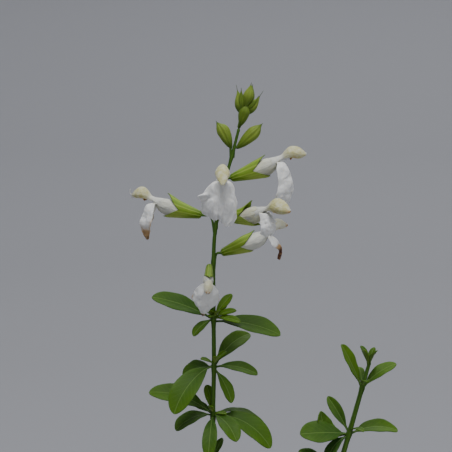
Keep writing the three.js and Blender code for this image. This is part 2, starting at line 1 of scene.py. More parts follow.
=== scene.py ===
# %% [markdown]
# # A white sage in a clay pot
# This lesson dresses a potted sage: thin leaves on square stems, white two-lipped flowers
# in ribbed green cups, closed buds, soil and an unglazed clay pot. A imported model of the
# plant says where everything stands, and each piece made here takes the place of one of
# its plain solids. All the shape functions below think in millimetres, as a gardener
# would, and only the last step of each turns its points into Blender's metres. Blender's
# noise starts from the clock unless it gets a seed, so it gets one before anything else,
# and the petals crease alike each time.

# %% Load the plain model that the pieces stand on
import math
import random

import bmesh
import bpy
from mathutils import Matrix, Vector, noise


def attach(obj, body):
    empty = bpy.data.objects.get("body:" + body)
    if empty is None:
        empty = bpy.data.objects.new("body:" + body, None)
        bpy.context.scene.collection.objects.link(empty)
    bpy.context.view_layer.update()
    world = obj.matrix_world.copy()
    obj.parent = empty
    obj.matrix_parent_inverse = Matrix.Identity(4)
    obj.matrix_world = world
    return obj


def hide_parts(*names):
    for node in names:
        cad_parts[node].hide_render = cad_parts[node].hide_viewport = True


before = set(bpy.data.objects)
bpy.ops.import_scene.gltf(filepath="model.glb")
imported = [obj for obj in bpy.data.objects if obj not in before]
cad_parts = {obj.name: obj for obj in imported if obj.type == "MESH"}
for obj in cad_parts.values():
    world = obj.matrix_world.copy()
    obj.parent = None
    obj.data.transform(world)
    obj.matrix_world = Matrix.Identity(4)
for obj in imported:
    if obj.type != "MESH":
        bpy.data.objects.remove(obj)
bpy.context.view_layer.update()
MM = 0.001
NOISE_SEED = 2
noise.seed_set(NOISE_SEED)


def put_in_scene(name, data):
    thing = bpy.data.objects.new(name, data)
    bpy.context.scene.collection.objects.link(thing)
    return thing


# %% [markdown]
# ## Camera
# A photograph of a small flower is taken from close by, so lines that run away from the
# lens shrink fast. The camera stands a third of a metre off and looks down a little. The
# width of the view at the stem gives the lens: the closer the camera and the wider the
# view, the shorter the lens.

# %% Camera
CAMERA_TARGET = Vector((5, 0, 298)) * MM
CAMERA_DISTANCE = 330 * MM
CAMERA_PITCH = math.radians(7)
VIEW_WIDTH = 169.5 * MM
SENSOR_WIDTH = 36

camera_data = bpy.data.cameras.new("flower_camera")
camera_data.sensor_width = SENSOR_WIDTH
camera_data.lens = SENSOR_WIDTH * CAMERA_DISTANCE / VIEW_WIDTH
camera_data.clip_start = 0.01
camera = put_in_scene("flower_camera", camera_data)
back = Vector((0, -math.cos(CAMERA_PITCH), math.sin(CAMERA_PITCH)))
camera.location = CAMERA_TARGET + CAMERA_DISTANCE * back
camera.rotation_euler = (math.pi / 2 - CAMERA_PITCH, 0, 0)
bpy.context.scene.camera = camera
print("lens in mm:", round(camera_data.lens, 1))

# %% [markdown]
# ## Helpers for shapes
# Nearly every part of a plant is a thin skin: a leaf is a flat one, a stem or a flower's
# tube is one rolled up. So one helper does most of the work. It starts from Blender's
# grid operator and moves each grid point to where a formula wants it. Rolled skins meet
# themselves along a seam, and where a ring shrinks to nothing they close in a pole, so a
# second helper merges the points that coincide. Each point also carries three painted
# values, tone, cream and wither, from 0 to 1, which the materials read.

# %% Skins from a grid
UV_NAME = "skin"
FACTOR_NAMES = ("tone", "cream", "wither")
WELD = 1e-7


def new_skin():
    bm = bmesh.new()
    bm.loops.layers.uv.new(UV_NAME)
    for name in FACTOR_NAMES:
        bm.verts.layers.float.new(name)
    return bm


def skin(bm, rows, columns, place, paint=None, uv=None, material=0):
    """Adds a grid of rows x columns faces and moves each point to place(u, v), in mm.
    paint(u, v) gives its tone, cream and wither, and uv(u, v) its UV."""
    layers = [bm.verts.layers.float[name] for name in FACTOR_NAMES]
    uv_layer = bm.loops.layers.uv[UV_NAME]
    made = bmesh.ops.create_grid(bm, x_segments=rows, y_segments=columns, size=0.5)["verts"]
    spot = {}
    for vert in made:
        u = vert.co.x + 0.5
        v = 2 * vert.co.y
        spot[vert] = (u, v)
        vert.co = Vector(place(u, v)) * MM
        for layer, value in zip(layers, paint(u, v) if paint else (0, 0, 0)):
            vert[layer] = value
    faces = {face for vert in made for face in vert.link_faces}
    for face in faces:
        face.material_index = material
        face.smooth = True
        for loop in face.loops:
            u, v = spot[loop.vert]
            loop[uv_layer].uv = uv(u, v) if uv else (u, 0.5 + 0.5 * v)
    return made


def rolled(bm, rows, columns, place, **settings):
    """A skin that closes on itself across v, with its seam and poles merged."""
    made = skin(bm, rows, columns, place, **settings)
    bmesh.ops.remove_doubles(bm, verts=made, dist=WELD)


def new_piece(name, bm, materials, replaces=()):
    mesh = bpy.data.meshes.new(name)
    bm.to_mesh(mesh)
    bm.free()
    for material in materials:
        mesh.materials.append(material)
    piece = put_in_scene(name, mesh)
    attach(piece, "root")
    if replaces:
        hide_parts(*replaces)
    return piece


def add_wall(piece, thickness, under_material=0):
    """Gives a skin a wall, half of it to each side. Its underside can have a material."""
    wall = piece.modifiers.new("wall", "SOLIDIFY")
    wall.thickness = thickness * MM
    wall.offset = 0
    wall.material_offset = under_material


def even_shading(piece):
    """Lets broad faces rule the shading, so that thin edges don't darken them."""
    piece.modifiers.new("even_shading", "WEIGHTED_NORMAL")


print("skins carry", UV_NAME, "and", FACTOR_NAMES)

# %% [markdown]
# ## Helpers for smooth lines
# A stem or a petal is described by a few stations, each a short list of numbers. A
# Catmull-Rom line passes through every station and is smooth between them, so a handful
# of them is enough. A tube follows such a line: at each step a ring is set square to it.

# %% Lines through stations and tubes along them
UP = Vector((0, 0, 1))
ACROSS = Vector((0, 1, 0))


def through(stations, u):
    """Values at u, from 0 to 1, of a smooth line through evenly spaced stations."""
    last = len(stations) - 1
    at = min(max(u, 0), 1) * last
    i = min(int(at), last - 1)
    t = at - i
    b, c = stations[i], stations[i + 1]
    a = stations[i - 1] if i else [2 * p - q for p, q in zip(b, c)]
    d = stations[i + 2] if i + 2 <= last else [2 * q - p for p, q in zip(b, c)]
    return [
        q + 0.5 * t * (r - p + t * (2 * p - 5 * q + 4 * r - s + t * (3 * q - p - 3 * r + s)))
        for p, q, r, s in zip(a, b, c, d)
    ]


def ring_axes(line, u):
    """The line's point at u, with two directions square to it."""
    step = 0.004
    start = Vector(through(line, max(u - step, 0))[:3])
    end = Vector(through(line, min(u + step, 1))[:3])
    along = (end - start).normalized()
    helper = ACROSS if abs(along.z) > 0.6 else UP
    side = helper.cross(along).normalized()
    return Vector(through(line, u)[:3]), side, along.cross(side)


def rod(bm, line, rows, sides, radius, **settings):
    """A closed tube along a line. radius(u, angle) is in mm and 0 at a closed end."""

    def place(u, v):
        centre, side, third = ring_axes(line, u)
        angle = math.pi * v
        size = radius(u, angle)
        return centre + size * (math.cos(angle) * side + math.sin(angle) * third)

    rolled(bm, rows, sides, place, **settings)


def closed(size):
    """A radius for a rod: size(u) all along it, and 0 at both ends, where it closes."""
    return lambda u, angle: 0 if u in (0, 1) else size(u)


def smooth_step(low, high, x):
    t = min(max((x - low) / (high - low), 0), 1)
    return t * t * (3 - 2 * t)


def bump_at(middle, width, x):
    """A soft bump of height 1 round a middle."""
    return math.exp(-(((x - middle) / width) ** 2))


print("halfway between 0, 1 and 4:", through([[0], [1], [4]], 0.75))

# %% [markdown]
# ## Helpers for materials
# Colours are written as sRGB hex values, as in a paint program, and one function turns
# them into the linear values that light is counted in. Another adds a node with all its
# settings and links in one line, so that a material reads from top to bottom. A noise
# pattern's scale is worked out from the size of its patches in millimetres, and the last
# helper joins a finished colour and its relief to the shader.

# %% Colours and nodes
MIX = "ShaderNodeMix"
MATH = "ShaderNodeMath"
RANGE = "ShaderNodeMapRange"
NOISE = "ShaderNodeTexNoise"
ATTRIBUTE = "ShaderNodeAttribute"
SPLIT = "ShaderNodeSeparateXYZ"
FADE = {"interpolation_type": "SMOOTHSTEP"}
COLOUR = {"data_type": "RGBA"}
TIMES, TIMES_PLUS = {"operation": "MULTIPLY"}, {"operation": "MULTIPLY_ADD"}
LARGER, THERE_AND_BACK = {"operation": "MAXIMUM"}, {"operation": "PINGPONG"}
PLUS, CLAMPED = {"operation": "ADD"}, {"use_clamp": True}
MIX_A, MIX_B = 6, 7


def linear(hex_colour):
    channels = [int(hex_colour[i:i + 2], 16) / 255 for i in (1, 3, 5)]
    return [c / 12.92 if c <= 0.04045 else ((c + 0.055) / 1.055) ** 2.4 for c in channels] + [1]


def patches_of(size):
    """The scale of a noise whose patches are about this many mm across, to two figures."""
    return float(f"{1 / (size * MM):.2g}")


def main_output(node):
    """The first output of a node that is in use."""
    return next(output for output in node.outputs if output.enabled)


def add_node(tree, kind, settings=None, inputs=None):
    """Adds a node. An input is a value, a socket, or a node that gives its main output."""
    node = tree.nodes.new(kind)
    for name, value in (settings or {}).items():
        setattr(node, name, value)
    for name, value in (inputs or {}).items():
        if isinstance(value, bpy.types.Node):
            value = main_output(value)
        if isinstance(value, bpy.types.NodeSocket):
            tree.links.new(value, node.inputs[name])
        else:
            node.inputs[name].default_value = value
    return node


def new_material(name, finish):
    """A material whose shader has the given settings, and its node tree."""
    material = bpy.data.materials.new(name)
    material.use_nodes = True
    tree = material.node_tree
    for socket, value in finish.items():
        tree.nodes["Principled BSDF"].inputs[socket].default_value = value
    return material, tree


def join_to_shader(tree, colour, height=None, depth=0, strength=1):
    """Links a colour, and a height as relief that is depth mm deep."""
    shader = tree.nodes["Principled BSDF"]
    tree.links.new(main_output(colour), shader.inputs["Base Color"])
    if height:
        bump = add_node(tree, "ShaderNodeBump",
                        inputs={"Height": height, "Distance": depth * MM, "Strength": strength})
        tree.links.new(bump.outputs["Normal"], shader.inputs["Normal"])


print("middle grey is", [round(c, 3) for c in linear("#808080")])

# %% [markdown]
# ## Leaf
# A sage leaf is a waxy green skin with a fine down. Its upper side is dark where it is
# old and yellow-green where it is young, with a pale midrib and faint side veins that run
# forward to the edge. The same tone also carries painted light: leaves that lie in shadow
# are painted lighter. The skin's UV holds real distances, 40 mm to one unit, so the veins
# stay 2.4 mm apart on a large leaf as on a small one.

# %% Leaf materials
UV_SPAN = 40
VEIN_GAP = 2.4
VEIN_SWEEP = -1.25
# distance from a line's middle, in mm, where it begins to show and where it is full
MIDRIB, SIDE_VEIN = (0.3, 0.08), (0.34, 0.06)
LEAF_PATCH, LEAF_PUCKER = 3.85, 0.91


def leaf_material(name, old, young, vein, roughness, relief):
    material, tree = new_material(name, {
        "Roughness": roughness, "Specular IOR Level": 0.14, "Sheen Weight": 0.02,
        "Subsurface Weight": 0.12, "Subsurface Radius": (0.4, 1, 0.1),
        "Subsurface Scale": 1.2 * MM})
    where = add_node(tree, "ShaderNodeTexCoord").outputs["Object"]
    uv = add_node(tree, "ShaderNodeUVMap", {"uv_map": UV_NAME})
    scaled = add_node(tree, "ShaderNodeVectorMath", TIMES, {0: uv, 1: (UV_SPAN, UV_SPAN, 1)})
    place = add_node(tree, SPLIT, inputs={0: scaled})
    offset = add_node(tree, MATH, {"operation": "SUBTRACT"},
                      {0: place.outputs["Y"], 1: UV_SPAN / 2})
    across = add_node(tree, MATH, {"operation": "ABSOLUTE"}, {0: offset})
    midrib = add_node(tree, RANGE, FADE,
                      {"Value": across, "From Min": MIDRIB[0], "From Max": MIDRIB[1]})
    swept = add_node(tree, MATH, TIMES_PLUS, {0: across, 1: VEIN_SWEEP, 2: place.outputs["X"]})
    to_vein = add_node(tree, MATH, THERE_AND_BACK, {0: swept, 1: VEIN_GAP / 2})
    veins = add_node(tree, RANGE, FADE,
                     {"Value": to_vein, "From Min": SIDE_VEIN[0], "From Max": SIDE_VEIN[1]})
    # tone is the leaf's age, and on leaves that lie in shade it is also painted light
    youth_and_painted_light = add_node(tree, ATTRIBUTE, {"attribute_name": "tone"})
    patches = add_node(tree, NOISE, inputs={"Vector": where, "Scale": patches_of(LEAF_PATCH),
                                            "Detail": 3})
    drift = add_node(tree, MATH, TIMES_PLUS | CLAMPED, {0: patches, 1: 0.5, 2: -0.25})
    age = add_node(tree, MATH, PLUS | CLAMPED, {0: youth_and_painted_light.outputs["Fac"], 1: drift})
    green = add_node(tree, MIX, COLOUR, {0: age, MIX_A: linear(old), MIX_B: linear(young)})
    faint = add_node(tree, MATH, TIMES, {0: veins, 1: 0.16})
    lines = add_node(tree, MATH, LARGER, {0: faint, 1: midrib})
    strength = add_node(tree, MATH, TIMES, {0: lines, 1: 0.34})
    colour = add_node(tree, MIX, COLOUR, {0: strength, MIX_A: green, MIX_B: linear(vein)})
    pucker = add_node(tree, NOISE, inputs={"Vector": where, "Scale": patches_of(LEAF_PUCKER),
                                           "Detail": 2})
    height = add_node(tree, MATH, TIMES_PLUS, {0: lines, 1: relief, 2: pucker})
    join_to_shader(tree, colour, height, 0.12, 0.7)
    return material


leaf_upper = leaf_material("sage_leaf_upper_side", "#1d3d12", "#4e6f16", "#7c9a50", 0.55, -1.6)
leaf_under = leaf_material("sage_leaf_under_side", "#3b5a20", "#6b8532", "#8ca059", 0.65, 1.8)
print("leaf materials:", leaf_upper.name, leaf_under.name)

# %% [markdown]
# ## Stem, calyx and bud
# The stem is a square green rod with rounded corners, paler down each flute, with lines of
# fine hairs. The calyx, the cup that holds a flower, is bright yellow-green with nine
# soft ribs and a darker foot. Both use the angle round the skin for their lines. The
# hairs are far finer than a pixel, so they are drawn as a grain of half a millimetre.

# %% Stem and calyx materials
RIBS = 9
GREEN_PATCH, DOWN_GRAIN = 2.4, 0.455
# distance from a rib where its colour begins and where it is full, in gaps between ribs
RIB_WIDTH = (0.28, 0.05)
FOOT_SHARE = 0.42
AWN_COLOUR = "#3c4f16"


def ribbed_material(name, ground, rib_colour, foot, ribs, relief, contrast):
    material, tree = new_material(name, {
        "Roughness": 0.55, "Specular IOR Level": 0.2, "Sheen Weight": 0.03,
        "Subsurface Weight": 0.15, "Subsurface Radius": (0.5, 1, 0.1),
        "Subsurface Scale": 1 * MM})
    where = add_node(tree, "ShaderNodeTexCoord").outputs["Object"]
    uv = add_node(tree, "ShaderNodeUVMap", {"uv_map": UV_NAME})
    place = add_node(tree, SPLIT, inputs={0: uv})
    turns = add_node(tree, MATH, TIMES, {0: place.outputs["Y"], 1: ribs})
    to_rib = add_node(tree, MATH, THERE_AND_BACK, {0: turns, 1: 0.5})
    rib = add_node(tree, RANGE, FADE,
                   {"Value": to_rib, "From Min": RIB_WIDTH[0], "From Max": RIB_WIDTH[1]})
    patches = add_node(tree, NOISE, inputs={"Vector": where, "Scale": patches_of(GREEN_PATCH),
                                            "Detail": 3})
    low_end = add_node(tree, RANGE, FADE,
                       {"Value": place.outputs["X"], "From Min": FOOT_SHARE, "From Max": 0})
    mottle = add_node(tree, MATH, PLUS, {0: patches, 1: 0.35})
    shade = add_node(tree, MATH, TIMES | CLAMPED, {0: low_end, 1: mottle})
    base = add_node(tree, MIX, COLOUR, {0: shade, MIX_A: linear(ground), MIX_B: linear(foot)})
    strength = add_node(tree, MATH, TIMES, {0: rib, 1: contrast})
    # tone paints light: the calyx's shaded lower side is lifted towards the rib colour, and buds
    # get a painted highlight
    light = add_node(tree, ATTRIBUTE, {"attribute_name": "tone"})
    lift = add_node(tree, MATH, LARGER, {0: strength, 1: light.outputs["Fac"]})
    ribbed = add_node(tree, MIX, COLOUR, {0: lift, MIX_A: base, MIX_B: linear(rib_colour)})
    tip = add_node(tree, ATTRIBUTE, {"attribute_name": "wither"})
    colour = add_node(tree, MIX, COLOUR,
                      {0: tip.outputs["Fac"], MIX_A: ribbed, MIX_B: linear(AWN_COLOUR)})
    down = add_node(tree, NOISE, inputs={"Vector": where, "Scale": patches_of(DOWN_GRAIN)})
    height = add_node(tree, MATH, TIMES_PLUS, {0: rib, 1: relief, 2: down})
    join_to_shader(tree, colour, height, 0.1, 0.7)
    return material


stem_skin = ribbed_material("square_sage_stem", "#395a15", "#557a25", "#45461f", 4, 1.2, 0.5)
calyx_skin = ribbed_material("ribbed_calyx", "#74922a", "#aabd54", "#46680f", RIBS, 1.2, 0.4)
bud_skin = ribbed_material("closed_bud", "#566f1c", "#95a942", "#37530e", RIBS, 0.6, 0.15)
print("ribbed materials:", stem_skin.name, calyx_skin.name, bud_skin.name)

# %% [markdown]
# ## Petal and pollen sac
# A sage petal is a wet, velvety white skin. Light enters it, spreads and comes out
# again, so the shadows inside a flower stay pale: that is subsurface scattering. The
# hood is cream and woolly. A flower that is over dries from the lip's end, first beige,
# then brown, and the tube is so thin that it looks grey. Three painted values on each
# point, tone, cream and wither, say how much of each. A pollen sac is a brown husk with
# orange pollen on it.

# %% Petal and pollen sac materials
PETAL_PATCH, POLLEN_GRAIN = 1.61, 0.417
STREAKS_ALONG, STREAKS_ACROSS = 5, 26
BEIGE, DARK_BROWN, LIGHT_BROWN = "#bd9a6a", "#4c210d", "#a8834e"


def petal_material(name, white, grey, cream):
    material, tree = new_material(name, {
        "Roughness": 0.6, "Specular IOR Level": 0.35, "Sheen Weight": 0.12,
        "Sheen Roughness": 0.4, "Subsurface Weight": 0.3, "Subsurface Radius": (1, 0.9, 0.75),
        "Subsurface Scale": 0.9 * MM})
    where = add_node(tree, "ShaderNodeTexCoord").outputs["Object"]
    uv = add_node(tree, "ShaderNodeUVMap", {"uv_map": UV_NAME})
    thin, creamy, dry = [add_node(tree, ATTRIBUTE, {"attribute_name": name}).outputs["Fac"]
                         for name in FACTOR_NAMES]
    patches = add_node(tree, NOISE, inputs={"Vector": where, "Scale": patches_of(PETAL_PATCH),
                                            "Detail": 4, "Roughness": 0.6})
    long_ways = add_node(tree, "ShaderNodeMapping", inputs={
        "Vector": uv, "Scale": (STREAKS_ALONG, STREAKS_ACROSS, 1)})
    streaks = add_node(tree, NOISE, inputs={"Vector": long_ways, "Scale": 1, "Detail": 3})
    uneven = add_node(tree, RANGE, inputs={"Value": patches, "From Min": 0.3, "From Max": 0.7,
                                           "To Min": 0.55, "To Max": 1.15})
    cream_share = add_node(tree, MATH, TIMES | CLAMPED, {0: creamy, 1: uneven})
    petal = add_node(tree, MIX, COLOUR, {0: thin, MIX_A: linear(white), MIX_B: linear(grey)})
    flesh = add_node(tree, MIX, COLOUR, {0: cream_share, MIX_A: petal, MIX_B: linear(cream)})
    grain = add_node(tree, RANGE, inputs={"Value": patches, "From Min": 0.35, "From Max": 0.65,
                                          "To Min": -0.18, "To Max": 0.18})
    dryness = add_node(tree, MATH, TIMES_PLUS | CLAMPED, {0: dry, 1: grain, 2: dry})
    beige_share = add_node(tree, RANGE, FADE,
                           {"Value": dryness, "From Min": 0.08, "From Max": 0.5})
    beige = add_node(tree, MIX, COLOUR, {0: beige_share, MIX_A: flesh, MIX_B: linear(BEIGE)})
    fleck = add_node(tree, RANGE, FADE, {"Value": patches, "From Min": 0.48, "From Max": 0.66,
                                         "To Max": 0.8})
    husk = add_node(tree, MIX, COLOUR,
                    {0: fleck, MIX_A: linear(DARK_BROWN), MIX_B: linear(LIGHT_BROWN)})
    brown_share = add_node(tree, RANGE, FADE,
                           {"Value": dryness, "From Min": 0.5, "From Max": 0.95})
    colour = add_node(tree, MIX, COLOUR, {0: brown_share, MIX_A: beige, MIX_B: husk})
    height = add_node(tree, MATH, TIMES_PLUS, {0: streaks, 1: 1.4, 2: patches})
    join_to_shader(tree, colour, height, 0.3, 0.7)
    return material


def pollen_material(name, husk, pollen):
    material, tree = new_material(name, {"Roughness": 0.7})
    where = add_node(tree, "ShaderNodeTexCoord").outputs["Object"]
    grain = add_node(tree, NOISE, inputs={"Vector": where, "Scale": patches_of(POLLEN_GRAIN)})
    spots = add_node(tree, RANGE, FADE, {"Value": grain, "From Min": 0.42, "From Max": 0.6})
    colour = add_node(tree, MIX, COLOUR, {0: spots, MIX_A: linear(husk), MIX_B: linear(pollen)})
    join_to_shader(tree, colour, grain, 0.1)
    return material


petal_skin = petal_material("velvety_white_petal", "#e9e9e6", "#d0d0c5", "#bfbb82")
anther_skin = pollen_material("pollen_sac", "#5e300c", "#d9a443")
print("flower materials:", petal_skin.name, anther_skin.name)

# %% [markdown]
# ## Clay and soil
# Terracotta is fired, unglazed earthenware: matt, pinkish orange, with fine grit, faint
# rings from the turning wheel and a pale bloom where salts dry out. Potting soil is a
# dark mix of peat crumbs and bark with a few white beads of perlite.

# %% Clay and soil materials
CLAY_CLOUD, CLAY_GRIT, CLAY_BLOOM = 29.4, 0.667, 45.5
WHEEL_RING, WHEEL_RING_LENGTH = 2.38, 167
SOIL_PATCH, PERLITE_GRAIN = 2.63, 0.417


def clay_material(name, dark, bright, speck, salt):
    material, tree = new_material(name, {"Roughness": 0.88, "Specular IOR Level": 0.3})
    where = add_node(tree, "ShaderNodeTexCoord").outputs["Object"]
    cloud = add_node(tree, NOISE, inputs={"Vector": where, "Scale": patches_of(CLAY_CLOUD),
                                          "Detail": 6, "Roughness": 0.6})
    grit = add_node(tree, NOISE, inputs={"Vector": where, "Scale": patches_of(CLAY_GRIT),
                                         "Detail": 2})
    round_pot = patches_of(WHEEL_RING_LENGTH)
    flat = add_node(tree, "ShaderNodeMapping", inputs={
        "Vector": where, "Scale": (round_pot, round_pot, patches_of(WHEEL_RING))})
    rings = add_node(tree, NOISE, inputs={"Vector": flat, "Scale": 1, "Detail": 2})
    body = add_node(tree, MIX, COLOUR, {0: cloud, MIX_A: linear(dark), MIX_B: linear(bright)})
    spots = add_node(tree, RANGE, FADE, {"Value": grit, "From Min": 0.62, "From Max": 0.75})
    speckle = add_node(tree, MATH, TIMES, {0: spots, 1: 0.5})
    speckled = add_node(tree, MIX, COLOUR, {0: speckle, MIX_A: body, MIX_B: linear(speck)})
    salts = add_node(tree, NOISE, inputs={"Vector": where, "Scale": patches_of(CLAY_BLOOM),
                                          "Detail": 8, "Roughness": 0.72})
    bloom = add_node(tree, RANGE, FADE, {"Value": salts, "From Min": 0.54, "From Max": 0.72,
                                         "To Max": 0.55})
    colour = add_node(tree, MIX, COLOUR, {0: bloom, MIX_A: speckled, MIX_B: linear(salt)})
    height = add_node(tree, MATH, TIMES_PLUS, {0: rings, 1: 1.6, 2: grit})
    join_to_shader(tree, colour, height, 0.4, 0.6)
    return material


def soil_material(name, wet, dry):
    material, tree = new_material(name, {"Roughness": 0.95, "Specular IOR Level": 0.2})
    where = add_node(tree, "ShaderNodeTexCoord").outputs["Object"]
    tone = add_node(tree, ATTRIBUTE, {"attribute_name": "tone"})
    cloud = add_node(tree, NOISE, inputs={"Vector": where, "Scale": patches_of(SOIL_PATCH),
                                          "Detail": 5, "Roughness": 0.7})
    share = add_node(tree, MATH, TIMES_PLUS | CLAMPED, {0: cloud, 1: 0.6, 2: tone.outputs["Fac"]})
    colour = add_node(tree, MIX, COLOUR, {0: share, MIX_A: linear(wet), MIX_B: linear(dry)})
    join_to_shader(tree, colour, cloud, 1.6, 0.9)
    return material


def perlite_material(name, grey, white):
    material, tree = new_material(name, {"Roughness": 0.9, "Specular IOR Level": 0.3})
    where = add_node(tree, "ShaderNodeTexCoord").outputs["Object"]
    grain = add_node(tree, NOISE, inputs={"Vector": where, "Scale": patches_of(PERLITE_GRAIN),
                                          "Detail": 3})
    colour = add_node(tree, MIX, COLOUR, {0: grain, MIX_A: linear(grey), MIX_B: linear(white)})
    join_to_shader(tree, colour)
    return material


clay = clay_material("unglazed_terracotta", "#8d4a30", "#c27450", "#d99c78", "#d3b39b")
soil_skin = soil_material("peat_and_bark_soil", "#1c130d", "#5b4130")
perlite = perlite_material("perlite_bead", "#a9a49a", "#efece4")
print("ground materials:", clay.name, soil_skin.name, perlite.name)

# %% [markdown]
# ## Where a leaf goes
# A leaf row gives seven numbers: its heading round the stem, its slope where it starts
# and where it ends, its length, its width, a roll about its midrib and a lift above the
# node. Some rows add an eighth, which makes that leaf lighter, or darker: partly a younger
# or older leaf, partly painted light on leaves that lie in shade.
# Between the two slopes the midrib bends evenly, as an arc of a circle does, so its reach
# and rise follow from sines and cosines. The outline is narrow at the stalk, widest past
# the middle and blunt at the tip.

# %% The leaf's arc and outline
LEAF_ROOT = 0.4
PETIOLE_SHARE = 0.12
PETIOLE_HALF_WIDTH = 0.42
WIDENING, BLUNTNESS, WIDEST = 0.88, 0.64, 0.353
FOLD = 0.28
BLADE_THICKNESS = 0.34


def leaf_axes(base, leaf, t):
    heading, start, end, length, _, roll, lift = leaf[:7]
    heading, e0 = math.radians(heading), math.radians(start)
    bend = math.radians(end - start) or 1e-3
    e = e0 + bend * t
    reach = length * (math.sin(e) - math.sin(e0)) / bend
    rise = length * (math.cos(e0) - math.cos(e)) / bend
    outward = Vector((math.cos(heading), math.sin(heading), 0))
    across = Vector((-math.sin(heading), math.cos(heading), 0))
    up = (math.cos(e) * outward + math.sin(e) * UP).cross(across)
    turn = math.radians(roll)
    centre = base + (LEAF_ROOT + reach) * outward + (lift + rise) * UP
    side = math.cos(turn) * across + math.sin(turn) * up
    face = math.cos(turn) * up - math.sin(turn) * across
    return centre, side, face


def leaf_half_width(width, t):
    s = (t - PETIOLE_SHARE) / (1 - PETIOLE_SHARE)
    if s <= 0:
        return PETIOLE_HALF_WIDTH
    blade = width / 2 * s ** WIDENING * (1 - s) ** BLUNTNESS / WIDEST
    return max(blade, PETIOLE_HALF_WIDTH * (1 - smooth_step(0.1, 0.5, s)))


print("a leaf 8 mm wide is widest where t is",
      max((leaf_half_width(8, t / 50), t / 50) for t in range(50))[1])

# %% [markdown]
# ## One leaf
# The blade folds a little along its midrib, sways to one side and ripples at its edges.
# Rows of grid points are crowded towards the tip, because the outline turns fastest
# there. Small leaves get fewer points.

# %% One leaf
RIPPLE = 0.05
SWAY = 0.03
CROWDING = 1.35
LARGE_LEAF = 11
LARGE_GRID, SMALL_GRID = (20, 8), (14, 6)


def add_leaf(bm, base, leaf, dice):
    length, width = leaf[3:5]
    # the eighth number lightens or darkens the leaf: partly its age, partly painted light where it
    # lies in shade
    age_and_painted_light = leaf[7] if len(leaf) > 7 else 0
    rows, columns = LARGE_GRID if length > LARGE_LEAF else SMALL_GRID
    tone = 0.3 + 0.4 * smooth_step(18, 7, length) * dice.random() + 0.5 * (dice.random() - 0.5)
    beat, shift, sway = 2.2 + dice.random(), dice.random() * math.tau, dice.random() - 0.5

    def spread(u):
        return 1 - (1 - u) ** CROWDING

    def place(u, v):
        t = spread(u)
        centre, side, face = leaf_axes(base, leaf, t)
        half = leaf_half_width(width, t)
        if t <= PETIOLE_SHARE:
            return centre + half * v * side
        blade = (t - PETIOLE_SHARE) / (1 - PETIOLE_SHARE)
        fold = FOLD * half * (math.sqrt(v * v + 0.03) - 0.17)
        ripple = RIPPLE * half * v * v * math.sin(beat * math.tau * t + shift + (v > 0))
        drift = SWAY * length * sway * math.sin(math.pi * blade)
        return centre + (half * v + drift) * side + (fold + ripple) * face

    def uv(u, v):
        t = spread(u)
        return length * t / UV_SPAN, 0.5 + leaf_half_width(width, t) * v / UV_SPAN

    def paint(u, v):
        # tone: the leaf's age, plus painted light on leaves that lie in shade
        return tone + age_and_painted_light + 0.15 * abs(v) + 0.5 * (u - 0.45), 0, 0

    skin(bm, rows, columns, place, paint=paint, uv=uv)


print("a large leaf's grid:", LARGE_GRID, "and a small one's:", SMALL_GRID)

# %% [markdown]
# ## Where the shoots go
# The tall shoot and the right one are placed leaf by leaf. The hidden lower leaves and
# the short shoots follow a rule instead: pairs across the stem, each pair turned a
# quarter from the last, with a small leaf in each crook. The draws come from a seeded
# list of numbers, so they are the same each time, and the order of the draws matters.

# %% Rules for leaf pairs and tufts
DRAW_FACTOR, DRAW_MODULUS = 16807, 2147483647


def seeded(seed):
    state = seed

    def draw():
        nonlocal state
        state = state * DRAW_FACTOR % DRAW_MODULUS
        return state / DRAW_MODULUS

    return draw


def leaf_pair(draw, azimuth, length, inward):
    leaves = []
    for turn in (0, 180):
        heading = azimuth + turn + 24 * (draw() - 0.5)
        shaded = max(0, math.cos(math.radians(heading - inward)))
        size = length * (1 - 0.4 * shaded) * (0.9 + 0.2 * draw())
        start = 28 + 20 * draw()
        end = start - 52 - 16 * draw()
        leaves.append((heading, start, end, size, 0.34 * size, 24 * (draw() - 0.5), 0))
        small = 0.42 * size
        leaves.append((heading + 48, 58 + 14 * draw(), 12, small, 0.36 * small, 0, 1.6))
    return leaves


def leaf_tuft(draw, azimuth, length):
    leaves = []
    for turn in (0, 90, 180, 270):
        size = length * (0.8 + 0.4 * draw())
        leaves.append((azimuth + turn, 82, 34 + 20 * draw(), size, 0.36 * size, 0, 0))
    return leaves


def attached(base, rows):
    return [(Vector(base), leaf) for leaf in rows]


print("first pair:", [round(x, 1) for x in leaf_pair(seeded(71), 40, 19, 0)[0]])

# %% [markdown]
# ## The tall shoot
# Its path is the list of its nodes, from the soil to below the tip buds. It grows
# straight up and bends to the right near its top, where the flowers are.

# %% The tall shoot
NODE_Z, NODE_A, NODE_B = (0.1, 0, 206.4), (0, 0, 224.3), (0.4, 0, 243.7)
NODE_C, NODE_D, NODE_E = (0.3, 0, 262), (0.3, 0, 284.3), (1.1, 0, 297.6)
NODE_F, NODE_G, TALL_TIP = (3.9, 0, 312.3), (7, 0, 323.5), (9.9, 0, 334.8)
LOWER_TALL = [(-0.8, 0.6, 121), (-1.4, 1, 138), (-1.5, 1, 155), (-1, 0.7, 172),
              (-0.4, 0.3, 189)]
TALL_PATH = [(0, 0, 68), (0, 0, 98), *LOWER_TALL, NODE_Z, NODE_A, NODE_B, NODE_C, NODE_D,
             NODE_E, NODE_F, NODE_G, TALL_TIP]
TALL_RADII = [2.2, 2.2, 1.9, 1.7, 1.5, 1.35, 1.2, 1, 0.95, 0.9, 0.85, 0.8, 0.75, 0.7, 0.62,
              0.55]


